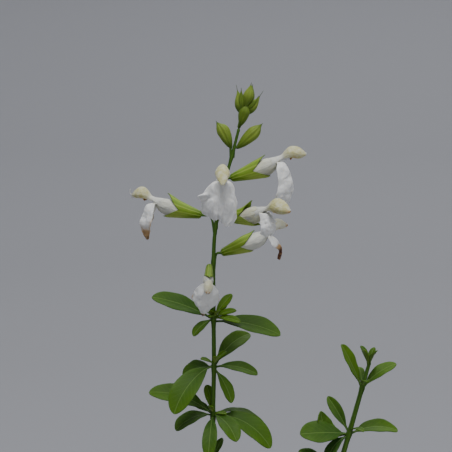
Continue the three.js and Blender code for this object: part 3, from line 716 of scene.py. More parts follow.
def tall_leaves():
    draw = seeded(71)
    leaves = []
    for i, base in enumerate(LOWER_TALL[1:]):
        leaves += attached(base, leaf_pair(draw, 40 + 90 * i, 19 + 1.4 * i, 0))
    leaves += attached(NODE_Z, [
        (-42, -8, -52, 23, 8, 10, 0),
        (140, -12, -56, 23, 8, -10, 0),
        (58, 62, 30, 9, 3, 0, 0.6),
    ])
    leaves += attached(NODE_A, [
        (169, 36, -6, 26.6, 8, -38, 1),
        (-15, 6, -60, 26.4, 8.6, 34, 0.6, 0.1),
        (-153, 20, -48, 16.6, 7.4, -12, 0.4),
        (-96, 0, -78, 20, 5.5, 0, 0),
        (-54, 10, -56, 17, 7.4, 6, 0.6),
        (16, 8, -40, 21.5, 6.8, 0, 1.2),
        (116, 75, 43, 10.6, 4.4, 0, 1.8),
        (155, 30, 10, 9, 4, -20, 1),
        (-30, 32, -10, 6, 2.4, 10, 0.6, 0.8),
        (-110, 68, 30, 5.4, 2.2, 0, 1.2, 0.8),
        (150, 76, 60, 6, 2.2, 0, 1.6),
    ])
    leaves += attached(NODE_B, [
        (-137, -4, -70, 25.8, 9.6, -26, 0.6),
        (46, 49, 0, 22.4, 7.2, 26, 0.3, 0.35),
        (-9, 14, -30, 17, 5.6, 26, 0),
        (-32, -44, -72, 14.4, 5.2, 16, -0.8),
        (168, 2, -40, 13, 8.8, -22, 0, -0.3),
        (-70, 64, 20, 6.4, 2.8, 0, 1.2, 0.9),
        (-150, 40, 10, 6, 2.6, -20, 1.4, 0.8),
        (10, 62, 30, 6.4, 2.8, 20, 1.4, 0.9),
    ])
    leaves += attached(NODE_C, [
        (-175, 33, 9, 24.8, 8, -36, 0.4, -0.05),
        (-9, 5, -25, 25.8, 8.6, 32, -0.5, 0.25),
        (-158, -18, -56, 10, 4.4, -20, 0.4),
        (30, 54, 36, 11, 3.8, 30, 1.4, 0.8),
        (-12, 36, 4, 9.1, 2.6, 44, 1, 1.2),
        (-27, 14, -20, 11.2, 3.2, 30, 0.8, 0.8),
        (165, 44, 20, 9.2, 3.4, -40, 1.6, 0.6),
        (-104, 40, -20, 5.2, 2.4, 0, 1.2),
        (-60, 62, 20, 5.4, 2.6, 0, 1, 0.9),
        (-120, 66, 30, 5.2, 2.4, 0, 0.8, 0.6),
        (30, 46, 24, 6.6, 2.6, 34, 1.6, 1.4),
        (110, 70, 40, 6, 2.2, 0, 1.4),
    ])
    return leaves


print("leaves on the tall shoot:", len(tall_leaves()))

# %% [markdown]
# ## The right shoot and the short ones
# The right shoot leans away and carries no flowers. The four short shoots lean outwards
# from holes round the tall one, and bow a little upwards as they reach for light.

# %% The right shoot and the short ones
NODE_R1, NODE_R2 = (52.5, 0, 217.1), (57.2, 0, 235.4)
RIGHT_TUFT, RIGHT_TIP = (59.6, 0, 244.5), (60, 0, 246)
LOWER_RIGHT = [(20.9, 2.3, 118), (28.2, 1.7, 137), (35.2, 1, 157), (41.6, 0.4, 178),
               (47.6, 0, 199)]
RIGHT_PATH = [(8.2, 3.8, 79), (14, 3, 97.5), *LOWER_RIGHT, NODE_R1, NODE_R2, RIGHT_TIP]
RIGHT_RADII = [1.8, 1.8, 1.6, 1.45, 1.3, 1.15, 1.05, 0.95, 0.85, 0.6]
SOIL_LEVEL = 97
SHORT_NODES = 5
ROOTED_DEPTH = 17
# name: azimuth, distance, lean, height, seed, turn
SHORT_SHOOTS = {
    "left": (160, 15, 21, 84, 11, 60),
    "front": (-116, 15, 26, 70, 37, 50),
    "back": (76, 16, 24, 76, 53, 55),
    "low_right": (-44, 16, 32, 58, 67, 50),
}


def right_leaves():
    draw = seeded(23)
    leaves = []
    for i, base in enumerate(LOWER_RIGHT[1:4]):
        leaves += attached(base, leaf_pair(draw, 75 + 90 * i, 21 + i, 180))
    leaves += attached(LOWER_RIGHT[4], [
        (180, 58, 18, 18.4, 6.6, -24, 0),
        (4, 20, -38, 21, 7.4, 10, 0),
        (90, 50, -6, 10, 3.8, 0, 1.6),
        (-90, 30, -40, 12, 4.4, 0, 0.8),
    ])
    leaves += attached(NODE_R1, [
        (-168, 12, -4, 19.4, 9.7, -36, 0, -0.2),
        (170, -20, 98, 16.2, 6.4, -40, 0, 0.1),
        (138, 54, 46, 15.4, 4.4, -50, 1, 0.1),
        (-160, -14, -88, 14.6, 4.8, -30, -0.6),
        (10, 24, -24, 20, 7.4, 20, 0),
        (-60, 40, -10, 9, 3.4, 0, 1.4),
    ])
    leaves += attached(NODE_R2, [
        (-166, 69, 59, 19.2, 6, -50, 0.4, 0.6),
        (14, 52, 12, 16.4, 5.6, 20, 0),
        (92, 56, 10, 9, 3.4, 0, 1.2),
        (-88, 50, 0, 9, 3.4, 0, 1.2),
    ])
    return leaves + attached(RIGHT_TUFT, leaf_tuft(draw, 45, 7))


def short_shoot(azimuth, distance, lean, height, seed, turn):
    """The path, radii and leaves of one short shoot."""
    heading, slope = math.radians(azimuth), math.tan(math.radians(lean))

    def at(rise):
        bow = 1 - 0.25 * math.sin(math.pi * rise / height)
        reach = distance + rise * slope * bow
        return Vector((reach * math.cos(heading), reach * math.sin(heading),
                       SOIL_LEVEL + 0.5 + rise))

    surface = at(0)
    nodes = [at(height / (SHORT_NODES + 1) * (i + 1)) for i in range(SHORT_NODES + 1)]
    foot = surface + (surface - nodes[0]).normalized() * ROOTED_DEPTH
    path = [foot, surface, *nodes]
    radii = [1.7 - 0.15 * i for i in range(len(path))]
    draw = seeded(seed)
    leaves = []
    for i, base in enumerate(nodes[1:SHORT_NODES]):
        pair = leaf_pair(draw, azimuth + turn + 90 * i, 23 - 1.6 * i, azimuth + 180)
        leaves += attached(base, pair)
    tip = nodes[SHORT_NODES].lerp(nodes[SHORT_NODES - 1], 0.08)
    return path, radii, leaves + attached(tip, leaf_tuft(draw, azimuth + 30, 10))


print("leaves on the right shoot:", len(right_leaves()))

# %% [markdown]
# ## Stems
# A sage stem is square. Its ring is a superellipse, a shape between a circle and a
# square, with a shallow flute down each side. At every node it swells where the leaf
# stalks join. Both ends close in a pole.

# %% Stems
STEM_ROWS_PER_NODE = 12
STEM_SIDES = 24
NODE_SWELL = 0.32
FLUTE_DEPTH = 0.07


def square_ring(angle):
    """A rounded square of half width 1 that stands on its flats."""
    return (math.cos(angle) ** 4 + math.sin(angle) ** 4) ** -0.25


def add_stem(bm, path, radii):
    line = [(*point, radius) for point, radius in zip(path, radii)]
    spans = len(line) - 1

    def radius(u, angle):
        if u in (0, 1):
            return 0
        width = through(line, u)[3]
        to_node = abs(u * spans - round(u * spans))
        swell = 1 + NODE_SWELL * bump_at(0, 0.09, to_node)
        flute = 1 - FLUTE_DEPTH * math.cos(2 * angle) ** 6 * (1 - bump_at(0, 0.12, to_node))
        return 0.94 * width * square_ring(angle) * swell * flute

    rod(bm, line, spans * STEM_ROWS_PER_NODE, STEM_SIDES, radius)


def make_shoot(name, path, radii, leaves, seed):
    dice = random.Random(seed)
    blades = new_skin()
    for base, leaf in leaves:
        add_leaf(blades, base, leaf, dice)
    piece = new_piece(f"leaves_{name}", blades, [leaf_upper, leaf_under],
                      [f"shoot_{name}"])
    add_wall(piece, BLADE_THICKNESS, under_material=1)
    even_shading(piece)
    rods = new_skin()
    add_stem(rods, [Vector(p) for p in path], radii)
    new_piece(f"stem_{name}", rods, [stem_skin], [f"shoot_{name}"])
    print("shoot", name, "has", len(leaves), "leaves")


make_shoot("tall", TALL_PATH, TALL_RADII, tall_leaves(), 5)
make_shoot("right", RIGHT_PATH, RIGHT_RADII, right_leaves(), 6)
for number, (shoot_name, row) in enumerate(SHORT_SHOOTS.items()):
    make_shoot(shoot_name, *short_shoot(*row), 7 + number)

# %% [markdown]
# ## A flower's own frame
# Each flower is made lying along the X axis, with its hood towards +Z, and one matrix
# then turns it to its heading and slope and carries it to the stem. The usual flower is
# the first row, and the table says only where each flower departs from it: where it is,
# how it is turned, how large its cup, hood and lip are, how the lip hangs and how far it
# all has dried.

# %% Where the flowers are
# cup: radius at its foot, and how much it widens with each mm; dry: where the lip starts
# to dry and where it is quite dry, as shares of its way
USUAL = dict(roll=0, scale=1, cup_length=1, cup=(1.2, 0.21), lower_tooth=1, upper_tooth=1,
             tooth_bend=0.7, hood_size=1, hood_back=0, hood_rise=0, droop=0, lip_length=1,
             lip_width=1, lip_drop=0, lip_forward=0, lip_side=0, ear=1, taper=0, folds=1,
             skew=0, wither=0, dry=(0.62, 0.95), tip_wither=0, cream=1, age=0.12, style=0.7,
             anther=0.3, anther_drop=0)
FLOWER_ROWS = {
    "low_front": dict(base=(-1.3, -3, 283), azimuth=-90.5, elevation=-20, roll=9,
                      stalk=(0, -0.6, 283.5), scale=0.7, cup_length=1.17, cup=(2.3, 0.09),
                      tooth_bend=0, hood_back=3.4, lip_length=1.2, lip_width=1.2,
                      lip_drop=1.4, ear=0.1, taper=0.45, folds=0.5, wither=1, dry=(0.85, 0.98),
                      tip_wither=1, cream=0.7),
    "low_right": dict(base=(3, 0.3, 287.6), azimuth=12, elevation=19.5, lower_tooth=0.82,
                      tooth_bend=-0.7, stalk=(0.8, 0.1, 284.2), age=0.05, hood_size=0.85,
                      cream=0.55, hood_back=0.6, hood_rise=1.2, lip_length=0.66,
                      lip_width=0.56, lip_drop=0.6, lip_forward=1.5, folds=0.5, wither=1,
                      dry=(0.54, 0.78), tip_wither=1),
    "mid_left": dict(base=(-4, 0.4, 302), azimuth=162, elevation=12.5, style=2.2,
                     tooth_bend=0.5, stalk=(0.5, 0.1, 295.2), hood_rise=1.1, hood_size=0.94,
                     anther=0.5, anther_drop=1, lip_length=0.96, lip_width=0.95,
                     lip_forward=1.7, folds=0.7, taper=0.3, wither=0.8, dry=(0.64, 1.02)),
    "mid_right": dict(base=(4.7, -2, 301.1), azimuth=-42, elevation=10.5, age=0.45,
                      lower_tooth=1.06, upper_tooth=0.95, tooth_bend=0.9,
                      stalk=(1.2, -0.3, 295.2), hood_size=1.14, lip_length=0.58,
                      lip_width=0.5, lip_forward=1, folds=0.4, tip_wither=0.55),
    "top_front": dict(base=(3.2, -3, 311.2), azimuth=-88.6, elevation=15.5, cup=(1.2, 0.15),
                      hood_size=1.05, hood_rise=0.7, droop=3.4, stalk=(3.7, -0.6, 310.2),
                      lip_length=0.95, lip_width=1.05, lip_side=-1, skew=1.6),
    "top_right": dict(base=(6.5, 0, 315.8), azimuth=0, elevation=19, age=0.25, folds=0.3,
                      tooth_bend=-0.2, stalk=(5, 0, 314.4), style=0.6, anther_drop=0.3),
}
FLOWERS = {name: USUAL | row for name, row in FLOWER_ROWS.items()}


def flower_matrix(flower):
    heading = math.radians(flower["azimuth"])
    slope = math.radians(flower["elevation"])
    along = Vector((math.cos(slope) * math.cos(heading), math.cos(slope) * math.sin(heading),
                    math.sin(slope)))
    across = Vector((-math.sin(heading), math.cos(heading), 0))
    across.rotate(Matrix.Rotation(-math.radians(flower.get("roll", 0)), 3, along))
    up = along.cross(across)
    turn = Matrix((along, across, up)).transposed().to_4x4()
    size = Matrix.Scale(flower.get("scale", 1), 4)
    return Matrix.Translation(Vector(flower["base"])) @ turn @ size


def in_flower(flower, shape):
    """Turns a place function in the flower's frame into one in the plant's."""
    matrix = flower_matrix(flower)
    return lambda u, v: matrix @ Vector(shape(u, v))


print("flowers:", ", ".join(FLOWERS))

# %% [markdown]
# ## Calyx
# The calyx is a slender ribbed cup with one broad upper tooth and two lower ones, with a
# deep notch at each side. The edge's height is a function of the angle from the top. Each
# tooth ends in a fine dark awn. The cup is rolled from one skin, and its nine ribs are
# real relief that sinks away towards the foot. Its stalk rises from the stem first and
# then bends outwards.

# %% Calyx
CALYX_LENGTH = 15
CALYX_SAG = 0.15
CALYX_SLENDER = 0.67
SIDE_NOTCH, LOWER_TOOTH, LOWER_NOTCH = 86, 150, 180
CALYX_WALL = 0.26
CALYX_GRID = (30, 8 * RIBS)
RIB_HEIGHT = 0.06
STALK_RADIUS, STALK_ROOT = 0.27, 0.6
KNEE_OUT, KNEE_UP = 0.22, 0.88


def calyx_edge(degrees, lower_share=1, upper_share=1):
    """Length of the cup at an angle from its top, as a share of the whole. The last two
    make its lower or upper teeth shorter or longer."""
    if degrees < SIDE_NOTCH:
        awn = 0.06 * bump_at(0, 7, degrees)
        return upper_share * (0.95 - 0.36 * (degrees / SIDE_NOTCH) ** 1.5 + awn)
    lower = 0.94 - 0.35 * abs(degrees - LOWER_TOOTH) / (LOWER_TOOTH - SIDE_NOTCH)
    between = 0.8 + 0.14 * (LOWER_NOTCH - degrees) / (LOWER_NOTCH - LOWER_TOOTH)
    return lower_share * (min(lower, between) + 0.03 * bump_at(LOWER_TOOTH, 6, degrees))


def calyx_shape(flower):
    shares = flower["lower_tooth"], flower["upper_tooth"]
    length = CALYX_LENGTH * flower["cup_length"]
    base, flare = flower["cup"]

    def place(u, v):
        angle = math.pi * v
        edge = calyx_edge(abs(math.degrees(angle)), *shares)
        x = length * u * (1 - (1 - edge) * smooth_step(0, 0.6, u))
        foot = math.sqrt(min(u / 0.05, 1))
        rib = RIB_HEIGHT * math.cos(RIBS * angle) * smooth_step(0.05, 0.4, u)
        radius = (base + flare * x) * foot + rib
        rise = flower["tooth_bend"] * smooth_step(9, 14.5, x) * max(math.cos(angle), 0)
        centre = rise - CALYX_SAG * smooth_step(0, 8, x)
        return x, -CALYX_SLENDER * radius * math.sin(angle), centre + radius * math.cos(angle)
    return place


def calyx_paint(u, v):
    # the lower side lies in shade, so it is painted lighter: painted light
    painted_light_low_side = smooth_step(0.45, 0.8, abs(v)) * smooth_step(0.3, 0.7, u)
    return 0.8 * painted_light_low_side, 0, 0.6 * smooth_step(0.95, 1, u)


def add_stalk(bm, start, end, radius, material):
    """A stalk that is rooted in the stem, leaves it upwards and bends out to its cup."""
    step = end - start
    knee = start + Vector((KNEE_OUT * step.x, KNEE_OUT * step.y, KNEE_UP * step.z))
    inner = start - (knee - start).normalized() * STALK_ROOT
    rod(bm, [inner, start, knee, end], 18, 12, closed(lambda u: radius * (1 + 0.7 * u ** 3)),
        material=material)


def make_calyx(name, flower):
    bm = new_skin()
    rolled(bm, *CALYX_GRID, in_flower(flower, calyx_shape(flower)), paint=calyx_paint)
    end = flower_matrix(flower) @ Vector((0.7, 0, 0))
    add_stalk(bm, Vector(flower["stalk"]), end, STALK_RADIUS, 1)
    piece = new_piece(f"green_cup_{name}", bm, [calyx_skin, stem_skin],
                      [f"calyx_{name}"])
    add_wall(piece, CALYX_WALL)
    even_shading(piece)


for flower_name, flower_row in FLOWERS.items():
    make_calyx(flower_name, flower_row)
print("calyx edge at its top, side and lower notch:",
      [round(calyx_edge(degrees), 2) for degrees in (0, SIDE_NOTCH, LOWER_NOTCH)])

# %% [markdown]
# ## Corolla
# The corolla is one white body: a pleated tube that widens to its mouth, a hood that
# arches forward over it, and a lip that rises in the throat and then hangs like an apron.
# Stations describe the middle line and size of each, and soft noise gives the petals
# their creases. Hood and lip both start inside the tube, at its own section, so no seam
# shows, and the tube is cut off on a slant between them.

# %% Stations of the corolla
# tube: distance, centre height, half width, half height
TUBE = [(1.3, 0, 0.3, 0.4), (5, -0.2, 1.1, 1.6), (9, -0.4, 1.9, 2.35), (12, -0.4, 2.35, 2.8),
        (14.4, -0.4, 2.45, 2.95), (16.2, -0.25, 2.2, 2.6), (17.6, 0, 1.85, 2),
        (18.9, 0.5, 1.45, 1.3)]
TUBE_SLANT = 1.4
# hood: distance, centre height, half width, half height, wrap in degrees
HOOD = [(12, -0.4, 2.29, 2.73, 118), (14.3, -0.37, 2.38, 2.9, 118), (16.4, -0.1, 2.05, 2.43, 118),
        (18.3, 0.5, 1.55, 1.6, 116), (20, 1, 1.1, 0.95, 124), (21.4, 1.25, 1.05, 1.05, 138),
        (22.9, 1.65, 1.7, 1.6, 138), (24.4, 1.55, 2.25, 2.35, 138), (26, 1.25, 2.4, 2.45, 158),
        (27.6, 0.75, 2.1, 2, 180), (28.8, 0.1, 1.35, 1.2, 180), (29.4, -0.4, 0.65, 0.6, 180),
        (29.7, -0.7, 0.04, 0.04, 180)]
NECK_X, NECK_Z = 21.4, 1.2
# lip: distance, height, half width, fall of its edges, curl back
LIP = [(13, -2.6, 1.4, -1.3, 0), (15, -2.7, 1.6, -1.3, 0), (16.8, -1.8, 1.6, -1.2, 0.2),
       (18.6, -0.6, 1.8, -0.8, 0.6), (20.4, -0.3, 3.1, -0.1, 2.2), (21.7, -1.1, 4.6, 1, 4.4),
       (22.5, -3.2, 5.4, 1.3, 6), (22.7, -5.8, 5.8, 0.9, 6.8), (22.4, -8.6, 6, 0.4, 7.2),
       (21.5, -11.2, 5.9, -0.1, 7.4), (20.2, -13.5, 5, -0.5, 6.4), (18.3, -15.4, 3, -0.7, 2.8)]
HINGE = 4
HINGE_SHARE = HINGE / (len(LIP) - 1)
HINGE_X, HINGE_Z = LIP[HINGE][:2]
TUBE_GRID, HOOD_GRID, LIP_GRID = (20, 40), (32, 24), (54, 34)
PETAL_WALL = 0.28


def crease(point, seed, size, amount):
    """A soft push along each axis from three-dimensional noise."""
    return amount * noise.noise_vector(Vector(point) / size + Vector((seed, 0, 0)))


print("the lip bends at", (HINGE_X, HINGE_Z))

# %% [markdown]
# ## Tube and hood
# The tube is rolled round the whole ring. The hood wraps only part of the way, so that
# it is a pouch open below. It wraps further where it bulges, and closes at its tip, which
# droops to a soft point.

# %% Tube and hood
PLEATS, PLEAT_DEPTH = 9, 0.04
KEEL_HEIGHT = 0.08


def tube_shape(seed):
    def place(u, v):
        x, centre, half_width, half_height = through(TUBE, u)
        angle = math.pi * v
        fold = math.sin(PLEATS * angle + 3 * u + seed) * smooth_step(0.3, 0.8, u)
        pleat = 1 + PLEAT_DEPTH * fold
        slant = TUBE_SLANT * (0.5 + 0.5 * math.cos(angle)) * smooth_step(0.6, 1, u)
        point = Vector((x - slant, -half_width * pleat * math.sin(angle),
                        centre + half_height * pleat * math.cos(angle)))
        return point + crease(point, seed, 2.6, 0.2 * u)
    return place


def hood_shape(flower, seed):
    def place(u, v):
        x, centre, half_width, half_height, wrap = through(HOOD, u)
        size = 1 + (flower["hood_size"] - 1) * smooth_step(0.35, 0.6, u)
        angle = math.radians(wrap) * v
        keel = 1 + KEEL_HEIGHT * bump_at(0, 0.22, v) * smooth_step(0.5, 0.8, u)
        fall = (flower["droop"] * smooth_step(0.6, 1, u)
                - flower["hood_rise"] * smooth_step(0.4, 0.7, u))
        x = NECK_X + (x - NECK_X) * size - flower["hood_back"] * smooth_step(0.2, 0.5, u)
        egg = 0.7 + 0.32 * smooth_step(0.1, 0.8, abs(v))
        point = Vector((x, -half_width * size * egg * math.sin(angle),
                        NECK_Z + (centre - NECK_Z) * size - fall
                        + half_height * size * keel * math.cos(angle)))
        return point + crease(point, seed + 7, 1.5, 0.14 * smooth_step(0.1, 0.5, u))
    return place


print("tube pleats:", PLEATS)

# %% [markdown]
# ## Lip
# Seen from the front the lip is two round shoulders, a channel down the middle and two
# lower lobes with a frilled edge. Its margins curl far back, so it looks thick from the
# side. A dried lip narrows to a rolled strip towards its end.

# %% Lip


THROAT_ROWS = 0.2


def down_lip(t):
    """Spends a fifth of the rows on the throat and the rest on what hangs."""
    if t < THROAT_ROWS:
        return HINGE_SHARE * t / THROAT_ROWS
    return HINGE_SHARE + (1 - HINGE_SHARE) * (t - THROAT_ROWS) / (1 - THROAT_ROWS)


def lip_station(flower, u):
    x, z, half, fall, curl = through(LIP, u)
    loose = smooth_step(HINGE_SHARE - 0.1, HINGE_SHARE + 0.12, u)
    length = flower["lip_length"] if u > HINGE_SHARE else 1
    width = 1 + loose * (flower["lip_width"] - 1)
    dried = flower["wither"] * smooth_step(*flower["dry"], u)
    forward = flower["lip_forward"] * smooth_step(0.35, 0.8, u)
    drop = flower["lip_drop"] * smooth_step(0.33, 0.45, u)
    taper = 1 - flower["taper"] * smooth_step(0.7, 0.9, u)
    return (HINGE_X + (x - HINGE_X) * length + forward, HINGE_Z + (z - HINGE_Z) * length - drop,
            half * width * taper * (1 - 0.72 * dried), fall, curl * width * (1 - 0.6 * dried))


def lip_shape(flower, seed):
    """Its far edge curls less on a flower that points sideways."""
    frill = 5 + seed % 3
    ear_side = -1 if seed % 2 == 0 else 1
    folds = flower["folds"]
    reach = math.cos(math.radians(flower["azimuth"]))
    far_side, far_flat = math.copysign(1, reach), smooth_step(0.2, 0.7, abs(reach))
    relief = min(1, flower["lip_length"], flower["lip_width"])

    def place(t, v):
        u = down_lip(t)
        x, z, half, fall, curl = lip_station(flower, u)
        x1, z1, *_ = lip_station(flower, max(u - 0.02, 0))
        x2, z2, *_ = lip_station(flower, min(u + 0.02, 1))
        along = Vector((x2 - x1, 0, z2 - z1)).normalized()
        outward = Vector((-along.z, 0, along.x))
        edge = abs(v)
        hanging = smooth_step(0.35, 0.55, u)
        channel = -1.4 * bump_at(0, 0.3, v) * bump_at(0.62, 0.22, u)
        shoulders = folds * bump_at(0.5, 0.25, edge) * bump_at(0.5, 0.07, u)
        crook = -0.85 * folds * bump_at(0.62, 0.2, edge) * bump_at(0.645, 0.03, u)
        lobes = 0.7 * folds * bump_at(0.5, 0.22, edge) * bump_at(0.72, 0.05, u)
        rim = hanging * max(smooth_step(0.5, 1, edge), smooth_step(0.8, 1, u))
        wave = 0.4 * rim * math.sin(frill * math.pi * v + 10 * u + seed)
        ear = flower["ear"] * bump_at(0.59, 0.036, u) * smooth_step(0.45, 1, ear_side * v)
        pleat = 0.1 * smooth_step(0.55, 0.75, u) * math.sin(19 * v + 4 * u + 2 * seed)
        pinch = 1 + 0.32 * ear
        notch = 1.3 * bump_at(0, 0.3, v) * smooth_step(0.85, 1, u)
        curl *= 1 - 0.6 * far_flat * smooth_step(0, 1, far_side * v)
        point = Vector((x - curl * v * v * (1 - 0.5 * ear),
                        half * pinch * v + flower["lip_side"] * hanging,
                        z - fall * v * v + notch - flower["skew"] * v * smooth_step(0.6, 1, u)))
        point += relief * (channel + shoulders + crook + lobes + wave + pleat) * outward
        return (point + crease(point, seed + 3, 2.6, 0.42 * relief * hanging)
                + crease(point, seed + 5, 1.1, 0.2 * hanging))
    return place


def lip_paint(flower):
    def paint(t, v):
        u = down_lip(t)
        edge = 0.5 * smooth_step(0.85, 1, abs(v)) * smooth_step(0.5, 0.7, u)
        end = smooth_step(*flower["dry"], u)
        return (smooth_step(0.42, 0.3, u), 0.15 * smooth_step(0.5, 0.2, u),
                flower["wither"] * max(edge, end))
    return paint


print("lip half width at its widest:", max(row[2] for row in LIP), "mm")

# %% [markdown]
# ## Stamens and style
# Two stamens hide under the hood, each a white thread with an orange-brown pollen sac.
# The style is a longer thread that runs along the hood's roof and forks past its tip.

# %% Stamens and style
THREAD_RADIUS, STYLE_RADIUS, FORK_RADIUS = 0.12, 0.14, 0.15
# each branch of the style: its bend and its end, from where it forks
STYLE_FORKS = [((0.55, 0.1, 0.15), (0.6, 0.25, 1)), ((0.3, -0.1, -0.2), (-0.1, -0.25, -0.7))]


def add_thread(bm, matrix, points, radius=THREAD_RADIUS):
    line = [matrix @ Vector(p) for p in points]
    rod(bm, line, 6 * (len(line) - 1), 8, closed(lambda u: radius))


def add_anther(bm, matrix, start, end, size):
    line = [matrix @ Vector(start).lerp(Vector(end), t) for t in (0, 0.5, 1)]
    rod(bm, line, 10, 10, closed(lambda u: size * math.sin(math.pi * u) ** 0.6), material=1)


def make_stamens(name, flower):
    bm = new_skin()
    matrix = flower_matrix(flower)
    full, droop, low = flower["hood_size"], flower["droop"], flower["anther_drop"]

    def spot(x, y, z):
        """Keeps a point of the usual flower in its place under this flower's hood."""
        return (NECK_X + (x - NECK_X) * full - flower["hood_back"], y,
                NECK_Z + (z - NECK_Z) * full + flower["hood_rise"])

    for side in (-0.5, 0.5):
        add_thread(bm, matrix, [spot(16, side, 0), spot(19.5, side, 0.2),
                                spot(22, side, 0), spot(24, side, 0.4 - low)])
        add_anther(bm, matrix, spot(24.5, side, 0.7 - low), spot(23.4, 1.3 * side, -0.4 - low),
                   flower["anther"])
    tip = Vector(spot(29.4, 0, -0.5 - droop))
    add_thread(bm, matrix, [spot(20, 0, 1), spot(22, 0, 1), spot(25, 0, 2.4 - 0.1 * droop),
                            spot(27.3, 0, 1.5 - 0.5 * droop), tip], STYLE_RADIUS)
    for bend, end in STYLE_FORKS:
        add_thread(bm, matrix, [tip, tip + flower["style"] * Vector(bend),
                                tip + flower["style"] * Vector(end)], FORK_RADIUS)
    new_piece(f"stamens_{name}", bm, [petal_skin, anther_skin])


def make_corolla(number, name, flower):
    seed = 3.7 * number
    bm = new_skin()
    rolled(bm, *TUBE_GRID, in_flower(flower, tube_shape(seed)),
           paint=lambda u, v: (1, flower["age"], 0))

    def hood_paint(u, v):
        low = 0.35 + 0.65 * smooth_step(0.2, 0.9, abs(v))
        tone = 0.8 * smooth_step(0.5, 0.25, u)
        blush = 0.26 * bump_at(0.63, 0.06, u) * smooth_step(0.45, 0.9, abs(v))
        return (tone, flower["cream"] * smooth_step(0.3, 0.55, u),
                max(blush, flower["tip_wither"] * low * smooth_step(0.72, 0.98, u)))

    skin(bm, *HOOD_GRID, in_flower(flower, hood_shape(flower, seed)), paint=hood_paint)
    skin(bm, *LIP_GRID, in_flower(flower, lip_shape(flower, number)), paint=lip_paint(flower))
    bmesh.ops.recalc_face_normals(bm, faces=bm.faces)
    piece = new_piece(f"white_corolla_{name}", bm, [petal_skin], [f"corolla_{name}"])
    add_wall(piece, PETAL_WALL)
    smooth = piece.modifiers.new("soft", "SUBSURF")
    smooth.levels = smooth.render_levels = 1
    make_stamens(name, flower)


for flower_number, (flower_name, flower_row) in enumerate(FLOWERS.items()):
    make_corolla(flower_number, flower_name, flower_row)
print("corollas made:", len(FLOWERS))

# %% [markdown]
# ## Buds
# A bud is a closed calyx: flattened, widest at its middle, with a keel along its back and
# a beak where the upper tooth closes over the lower ones. The tip of the shoot is a
# cluster of younger ones, which overlap and end in long thin points.

# %% Buds
# share of the length, share of the half width
SIDE_PROFILE = [(0, 0.14), (0.1, 0.42), (0.21, 0.65), (0.35, 0.83), (0.5, 0.95), (0.66, 1),
                (0.8, 0.74), (0.9, 0.34), (1, 0.02)]
YOUNG_PROFILE = [(0, 0.25), (0.12, 0.66), (0.28, 0.96), (0.45, 0.98), (0.62, 0.76),
                 (0.78, 0.42), (0.9, 0.16), (1, 0.03)]
SIDE_BUDS = {
    "left": dict(base=(7.1, 0, 326.9), azimuth=180, elevation=63, length=11.4, width=4.4,
                 stalk=(6.7, 0, 323.4), beak=-0.5),
    "right": dict(base=(8.8, 0, 326.9), azimuth=0, elevation=41, length=13.2, width=4.4,
                  stalk=(7.8, 0, 324), beak=0.6),
}
MIDDLE_PROFILE = [(0, 0.15), (0.15, 0.42), (0.35, 0.78), (0.52, 1), (0.68, 0.84), (0.82, 0.48),
                  (0.93, 0.16), (1, 0.02)]
# light: how strong a painted highlight lies across the bud's upper middle
TIP_BUDS = [
    dict(base=(11.8, -0.9, 340.8), azimuth=-15, elevation=74, length=10.2, width=3.6, beak=0.3,
         light=0.6, profile=MIDDLE_PROFILE),
    dict(base=(12.4, 0.7, 340.8), azimuth=20, elevation=74, length=9.8, width=3.6, beak=0.1,
         light=0.2, profile=MIDDLE_PROFILE),
    dict(base=(10.3, -0.3, 340), azimuth=170, elevation=84, length=8.7, width=3.5, beak=-0.3,
         light=0.5, awn=2),
    dict(base=(10.8, -1, 341), azimuth=170, elevation=87, length=7.8, width=2.2, beak=0.2,
         light=0.05),
    dict(base=(12.9, -0.5, 339.6), azimuth=2, elevation=54, length=8.2, width=3.1, beak=0.2,
         light=0.6, awn=2.4),
    dict(base=(12.5, -1.2, 341), azimuth=0, elevation=44, length=6.6, width=1.7, beak=0.5,
         light=0),
    dict(base=(10.2, -0.7, 335.2), azimuth=-12, elevation=71, length=8.4, width=3.8, beak=0.2,
         light=0.1, profile=SIDE_PROFILE),
]
BUD_FLATNESS = 0.72
BUD_GRID = (30, 6 * RIBS)
BUD_STALK_RADIUS = 0.4
AWN_ROOT, AWN_RADIUS, AWN_TAPER = 1, 0.13, 0.07


def add_bud(bm, bud, profile):
    profile = bud.get("profile", profile)

    def shape(u, v):
        share, full = through(profile, u)
        angle = math.pi * v
        rib = 1 + 0.02 * math.cos(RIBS * angle) * smooth_step(0, 0.3, u)
        keel = 1 + 0.16 * bump_at(0, 0.16, v) * smooth_step(0.15, 0.5, u)
        seam = 1 - 0.16 * bump_at(0.5, 0.06, abs(v)) * smooth_step(0.2, 0.5, u)
        radius = 0 if u in (0, 1) else bud["width"] / 2 * max(full, 0) * rib * keel * seam
        beak = bud["beak"] * smooth_step(0.5, 1, u) ** 2
        return (bud["length"] * share, -BUD_FLATNESS * radius * math.sin(angle),
                radius * math.cos(angle) + beak)

    # each bud gets a painted highlight across its upper middle, as strong as its light value
    rolled(bm, *BUD_GRID, in_flower(bud, shape),
           paint=lambda u, v: (bud.get("light", 0.5) * bump_at(0.62, 0.3, u), 0,
                               0.8 * smooth_step(0.88, 1, u)))
    matrix = flower_matrix(bud)
    reach = bud.get("awn", 0.5)
    points = [(bud["length"] - AWN_ROOT, 0, 0.8 * bud["beak"]), (bud["length"], 0, bud["beak"]),
              (bud["length"] + reach, 0, bud["beak"] * (1 + 0.3 * reach))]
    rod(bm, [matrix @ Vector(point) for point in points], 8, 6,
        closed(lambda u: AWN_RADIUS - AWN_TAPER * u), paint=lambda u, v: (0.5, 0, 0.9))


